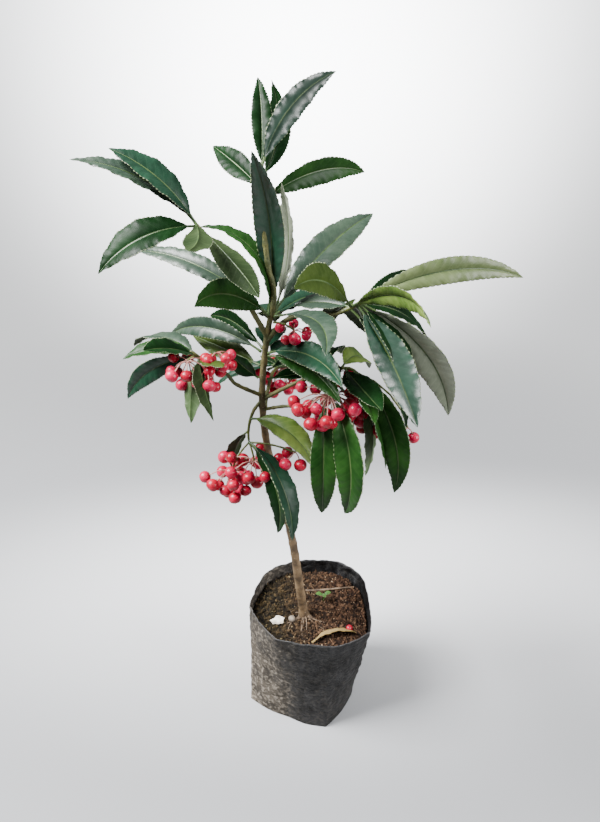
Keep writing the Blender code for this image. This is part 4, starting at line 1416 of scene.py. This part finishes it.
# %% Compost materials
def crumb_material(name, roughness, left_dark, left_light, right_dark, right_light):
    """Crumbs whose two shades run from the left pair to the right pair across the bag."""
    made, tree, shader, place = new_material(name, roughness, {"Specular IOR Level": 0.2})
    patch = mottle_of(tree, place, 260.0)
    # Partly painted shade: the left pair of shades is darker, as if the bag's rim kept the light off that
    # side.
    wander = sum_of(tree, "MULTIPLY_ADD", patch["Fine"], 0.04, parts_of(tree, place)["X"])
    share = range_of(tree, wander, -0.015, 0.045)
    dark = blend_of(tree, share, left_dark, right_dark)
    light = blend_of(tree, share, left_light, right_light)
    tree.links.new(blend_of(tree, patch["Mask"], dark, light), shader.inputs["Base Color"])
    bump(tree, shader, patch["Fine"], 0.0005)
    return made


compost = crumb_material(
    "dark_compost", 0.95, (0.0018, 0.0015, 0.0009), (0.0072, 0.0054, 0.0024),
    (0.0042, 0.0018, 0.0012), (0.0156, 0.0078, 0.0042),
)
brown = crumb_material(
    "brown_crumbs", 0.95, (0.0048, 0.0036, 0.0018), (0.0240, 0.0174, 0.0072),
    (0.0132, 0.0060, 0.0030), (0.0540, 0.0276, 0.0144),
)
rust = crumb_material(
    "bark_chips", 0.85, (0.0144, 0.0090, 0.0036), (0.0600, 0.0396, 0.0156),
    (0.0360, 0.0156, 0.0078), (0.1260, 0.0690, 0.0384),
)
straw = crumb_material(
    "pale_flecks", 0.85, (0.0720, 0.0560, 0.0240), (0.1760, 0.1400, 0.0680),
    (0.1280, 0.0800, 0.0464), (0.3200, 0.2240, 0.1440),
)
soil_mesh.materials.append(compost)
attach(soil, "root")
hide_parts("potting_soil")
print("made", ", ".join(look.name for look in (compost, brown, rust, straw)))

# %% [markdown]
# The crumb tree scatters copies of one shape over a surface, each turned and sized at random within
# its limits. It runs once for each kind of crumb.

# %% Crumb tree
crumb_tree, given, wanted = geometry_tree("crumbs_on_a_surface", {
    "Crumb": ("Object", None), "Density": ("Float", 100000.0), "Smallest": ("Float", 0.0005),
    "Largest": ("Float", 0.002), "Seed": ("Int", 1), "Material": ("Material", None),
})
scattered = add(
    crumb_tree, "GeometryNodeDistributePointsOnFaces",
    {"Mesh": given["Geometry"], "Density": given["Density"], "Seed": given["Seed"]},
)
spin = add(crumb_tree, "FunctionNodeRandomValue", {"Seed": given["Seed"]}, data_type="FLOAT_VECTOR")
spin.inputs[1].default_value = (2 * math.pi,) * 3
limits = {2: given["Smallest"], 3: given["Largest"], "Seed": given["Seed"]}
scale = add(crumb_tree, "FunctionNodeRandomValue", limits)
source = add(crumb_tree, "GeometryNodeObjectInfo", {"Object": given["Crumb"]})
placed = add(crumb_tree, "GeometryNodeInstanceOnPoints", {
    "Points": scattered.outputs["Points"], "Instance": source.outputs["Geometry"],
    "Rotation": spin.outputs[0], "Scale": scale.outputs[1],
})
finished = real_and_painted(crumb_tree, placed.outputs["Instances"], given["Material"])
crumb_tree.links.new(finished, wanted["Geometry"])


def crumb_shape(name, sizes, seed):
    """A crumb of twenty faces, knocked out of round, with these half sizes."""
    bm = bmesh.new()
    bmesh.ops.create_icosphere(bm, subdivisions=1, radius=1)
    draw = random.Random(seed)
    for vert in bm.verts:
        vert.co = Vector([c * size * draw.uniform(0.7, 1.2) for c, size in zip(vert.co, sizes)])
    return hidden_object(name, bm)


print("crumb tree has", len(crumb_tree.nodes), "nodes")

# Each kind: its shape, how many lie on a square metre, its least and greatest half length, its look
CRUMBS = (
    ("brown_crumbs", (1, 0.8, 0.7), 300000.0, 0.0007, 0.0021, brown),
    ("bark_chips", (1, 0.5, 0.25), 120000.0, 0.0010, 0.0034, rust),
    ("pale_flecks", (1, 0.5, 0.3), 30000.0, 0.0006, 0.0018, straw),
    ("fibres", (1, 0.08, 0.08), 45000.0, 0.0015, 0.0048, rust),
)
for seed, (name, sizes, density, smallest, largest, look) in enumerate(CRUMBS, 1):
    crumbs = run_tree(name, ground.copy(), crumb_tree, {
        "Crumb": crumb_shape(name + "_shape", sizes, seed), "Density": density,
        "Smallest": smallest, "Largest": largest, "Seed": seed, "Material": look,
    })
    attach(crumbs, "root")
    print(name, "has", len(crumbs.data.polygons), "faces")

# %% [markdown]
# ## What lies on the compost
#
# A few things make the pot look real: fine brown roots at the trunk's foot, a chip of white stone, a
# pebble, a dry leaf that has curled up, a fallen berry, a thin stick and a seedling with three leaves.
# Each is made with a tool that is already here. A root's row is its heading, length, bend and radius.

# %% Roots and stick
root_bark = simple_material("root_bark", (0.040, 0.024, 0.014), (0.170, 0.115, 0.070), 0.8, 200.0)
ROOTS = (
    (200, 22, 3.0, 0.6), (228, 20, -2.0, 0.45), (252, 26, 1.5, 0.55), (268, 24, -1.0, 0.4),
    (285, 26, -1.5, 0.5), (308, 24, 1.0, 0.4), (322, 26, 2.0, 0.6), (345, 18, -2.0, 0.45),
    (150, 13, 1.0, 0.5),
)
ROOT_BARK = {
    "Sides": 10, "Step": 0.0008, "Ridge Depth": 0.0004, "Ridge Scale": 700.0, "Material": root_bark,
}


def on_soil(x, y, lift):
    """A point this far above the compost's top."""
    return Vector((x, y, soil_height(x, y) + lift))


root_paths = []
for azimuth, length, bend, radius in ROOTS:
    line = []
    for i in range(9):
        share = i / 8
        spot = heading(azimuth + bend * 12 * share, 0) * (2.6 + length * share)
        line.append(on_soil(spot.x - 5, spot.y - 5, 1.9 * (1 - share) ** 2 - 0.5 * share + 0.3))
    root_paths.append((line, [radius * (1.1 - 0.7 * i / 8) for i in range(9)]))
roots = run_tree("surface_roots", chains("roots", root_paths), limb_tree, ROOT_BARK)
stick_points = ((-4, 21.5, 1.2), (10, 23, 1.6), (24, 24.5, 1.2), (37, 27, 1.6))
stick_line = smooth_line([on_soil(*point) for point in stick_points])
stick_radii = [1.1 - 0.4 * i / (len(stick_line) - 1) for i in range(len(stick_line))]
stick = run_tree("stick", chains("stick", [(stick_line, stick_radii)]), limb_tree, ROOT_BARK)
for piece in (roots, stick):
    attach(piece, "root")
print(len(ROOTS), "roots and a stick lie on the compost")

# %% [markdown]
# A stone is a ball with its skin pushed about by noise. Cut coarsely it looks chipped, and cut finely
# it looks worn round.

# %% Stones
def stone(name, centre, sizes, rough, turn, look, rounds=4):
    """A ball knocked into a stone by noise, with these half sizes in mm. Few rounds leave it angular."""
    bm = bmesh.new()
    bmesh.ops.create_icosphere(bm, subdivisions=rounds, radius=1)
    spin = Matrix.Rotation(math.radians(turn), 3, "Z")
    for vert in bm.verts:
        push = 1 + rough * noise.noise(vert.co * 1.1 + centre) + 0.2 * rough * noise.noise(vert.co * 5)
        vert.co = (spin @ Vector([c * push * size for c, size in zip(vert.co, sizes)]) + centre) * MM
    mesh = mesh_from(bm, name)
    mesh.materials.append(look)
    if rounds > 2:
        mesh.shade_smooth()
    made = new_object(name, mesh)
    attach(made, "root")


chalk = simple_material("chalk_stone", (0.560, 0.500, 0.420), (0.850, 0.800, 0.720), 0.8, 260.0)
granite = simple_material("grey_pebble", (0.090, 0.070, 0.052), (0.210, 0.170, 0.130), 0.7, 240.0)
stone("white_stone", on_soil(-27, -11.5, 1.4), (6.0, 4.0, 2.6), 0.5, 12, chalk, 2)
stone("pebble", on_soil(-15.2, -9.6, 1.6), (2.9, 3.1, 2.6), 0.15, 0, granite)
print("two stones on the compost")

# %% [markdown]
# The dry leaf and the seedling's leaves come from the same blade as the plant's own. A blade's row is
# its heading, its rise at the root and at the tip, its sway, its roll, its length and its width.

# %% Dry leaf, seedling and fallen berry
dry = leaf_material(
    "dry_leaf", (0.100, 0.070, 0.022), (0.270, 0.190, 0.080), (0.330, 0.240, 0.120), 0.7, 0.0
)
sprout = leaf_material(
    "seedling_leaf", (0.020, 0.070, 0.010), (0.050, 0.130, 0.018), (0.100, 0.200, 0.040), 0.45, 0.1
)
DRY_LEAF = (43, 12, -4, -62, 35, 38, 11)
SEED_LEAVES = ((185, 20, 0, 0, 0, 7, 4.2), (10, 25, 0, 0, 0, 6.6, 4.2), (285, 30, 0, 0, 0, 5, 3.4))
FALLEN_LEAN, FALLEN_RADIUS = Vector((0.5, -0.3, 0.6)), 2.8

dry_leaf = leaf_object("dry_leaf", [(on_soil(1, -33, 1.0), DRY_LEAF, dry, dry)], 3)
for place in range(len(dry_leaf.data.materials)):
    dry_leaf.data.materials[place] = dry
seed_foot = on_soil(11, 12, -0.5)
seed_line = smooth_line([seed_foot, seed_foot + Vector((0.4, -0.2, 4)), seed_foot + Vector((0.2, 0, 7))])
seedling_stalk = run_tree(
    "seedling_stalk", chains("seedling", [(seed_line, [0.4] * len(seed_line))]), limb_tree,
    {**FINE_STALK, "Material": sprout},
)
seedling = leaf_object("seedling", [(seed_line[-1], leaf, sprout, sprout) for leaf in SEED_LEAVES], 5)
fallen_row = (on_soil(31, -19.5, 2.4), FALLEN_LEAN.normalized(), FALLEN_RADIUS)
fallen = run_tree("fallen_berry", berry_points("fallen", [fallen_row], 2), berry_tree, FRUIT)
for piece in (dry_leaf, seedling_stalk, seedling, fallen):
    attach(piece, "root")
print("the seedling has", len(SEED_LEAVES), "leaves")

# %% [markdown]
# ## Studio
#
# The plant stands on a plain pale floor with a painted pool of light: its colour is brightest behind
# the pot and to its right and greyer further off, as paper looks under one lamp. A real studio hides
# the floor's far edge in a curved sheet of paper. That sheet would stand in the way when the plant is
# seen from behind, so here the floor fades out with distance, and the backdrop is painted in the sky
# beyond it. The floor looks pale to the camera but throws less light up at the plant, as a grey bench
# would, so that the undersides of the leaves stay dark.

# %% Floor
FLOOR_SIZE = 12.0
# The pool of light is painted in the floor's colour; the lamps don't make it.
POOL_PLACE = (0.08, 0.13, 0.0)  # the middle of the pool of light on the floor
POOL_SHAPE = (0.4, 1.0, 1.0)  # the pool is longer from left to right
POOL_REACH = 0.25  # metres from its middle to the grey floor, front to back
FADE_START, FADE_END = 0.25, 1.0  # metres from the plant


def floor_material():
    """Pale paper with a painted pool of light on it for the camera, and plain grey for other rays."""
    made, tree, shader, place = new_material("paper_floor", 0.7)
    flat = vector_math(tree, "MULTIPLY", place, (1.0, 1.0, 0.0))["Vector"]
    away = vector_math(tree, "LENGTH", flat)["Value"]
    moved = vector_math(tree, "SUBTRACT", flat, POOL_PLACE)["Vector"]
    oval = vector_math(tree, "MULTIPLY", moved, POOL_SHAPE)["Vector"]
    from_pool = range_of(tree, vector_math(tree, "LENGTH", oval)["Value"], 0.0, POOL_REACH)
    # Painted light: pale inside the pool and grey away from it.
    shown = blend_of(tree, from_pool, (0.69, 0.70, 0.72), (0.24, 0.245, 0.255))
    seen = add(tree, "ShaderNodeLightPath").outputs["Is Camera Ray"]
    tree.links.new(blend_of(tree, seen, (0.22, 0.22, 0.22), shown), shader.inputs["Base Color"])
    tree.links.new(range_of(tree, away, FADE_START, FADE_END, 1.0, 0.0), shader.inputs["Alpha"])
    return made


bpy.ops.mesh.primitive_plane_add(size=FLOOR_SIZE, location=(0, 0, 0))
floor = bpy.context.object
floor.name = "floor"
floor.data.materials.append(floor_material())
floor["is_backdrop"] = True
print("the floor is", FLOOR_SIZE, "metres wide")

# %% [markdown]
# The sky is two pictures in one. The camera sees a backdrop with a soft white glow behind the plant.
# The plant is lit by an overcast sky, bright overhead and dim at the horizon, because a bright horizon
# would lay a grey haze over every glossy leaf. The Light Path node tells the two kinds of ray apart.

# %% Sky
GLOW_EDGE = 0.80  # cosine of the angle at which the glow ends
GLOW_HEADING = heading(90, 0)
GLOW, BACKDROP = 10.0, 1.13  # how bright the glow is at its middle, and the paper round it
OVERCAST_LOW, OVERCAST_HIGH = 0.18, 0.70  # the light from near the horizon and from overhead

world = bpy.data.worlds.new("studio_sky")
world.use_nodes = True
sky = world.node_tree
view = add(sky, "ShaderNodeTexCoord").outputs["Generated"]
facing = vector_math(sky, "DOT_PRODUCT", view, GLOW_HEADING)["Value"]
glow = add(sky, "ShaderNodeMapRange", {"Value": facing, "From Min": GLOW_EDGE, "From Max": 1.0}).outputs[0]
backdrop = sum_of(sky, "MULTIPLY_ADD", sum_of(sky, "POWER", glow, 4.0), GLOW, BACKDROP)
overcast = range_of(sky, parts_of(sky, view)["Z"], 0.1, 0.85, OVERCAST_LOW, OVERCAST_HIGH)
seen = add(sky, "ShaderNodeLightPath").outputs["Is Camera Ray"]
kinds = {"Factor": seen, "A": overcast, "B": backdrop}
strength = add(sky, "ShaderNodeMix", kinds, data_type="FLOAT").outputs[0]
background = sky.nodes["Background"]
background.inputs["Color"].default_value = (0.965, 0.98, 1.0, 1)
sky.links.new(strength, background.inputs["Strength"])
scene.world = world
print("sky tree has", len(sky.nodes), "nodes")

# %% [markdown]
# Two soft lights do the rest. The main one, at the upper left, models the berries and drops a soft
# shadow to the right. The other is a window on the right, which draws the pale sheen on the leaves.

# %% Lights
def area_light(name, place, aim, size, power):
    """A square lamp at one place, aimed at another, in metres and watts."""
    data = bpy.data.lights.new(name, "AREA")
    data.energy = power
    data.size = size
    made = new_object(name, data)
    made.location = place
    made.rotation_euler = (Vector(aim) - Vector(place)).to_track_quat("-Z", "Y").to_euler()


area_light("upper_left", (-0.8, -0.1, 1.25), aim=(0, 0, 0.2), size=0.65, power=98)
area_light("window", (1.0, -0.35, 0.62), aim=(0, 0, 0.3), size=0.7, power=24)
print("the scene has", len(bpy.data.lights), "lamps")

# %% Finish
def corners(box):
    """The box's two corners, rounded to hundredths of a millimetre."""
    return [[round(float(value), 5) for value in corner] for corner in box]


sizes = {"cad": corners(cad_box), "visual": corners(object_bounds())}
print(sizes)
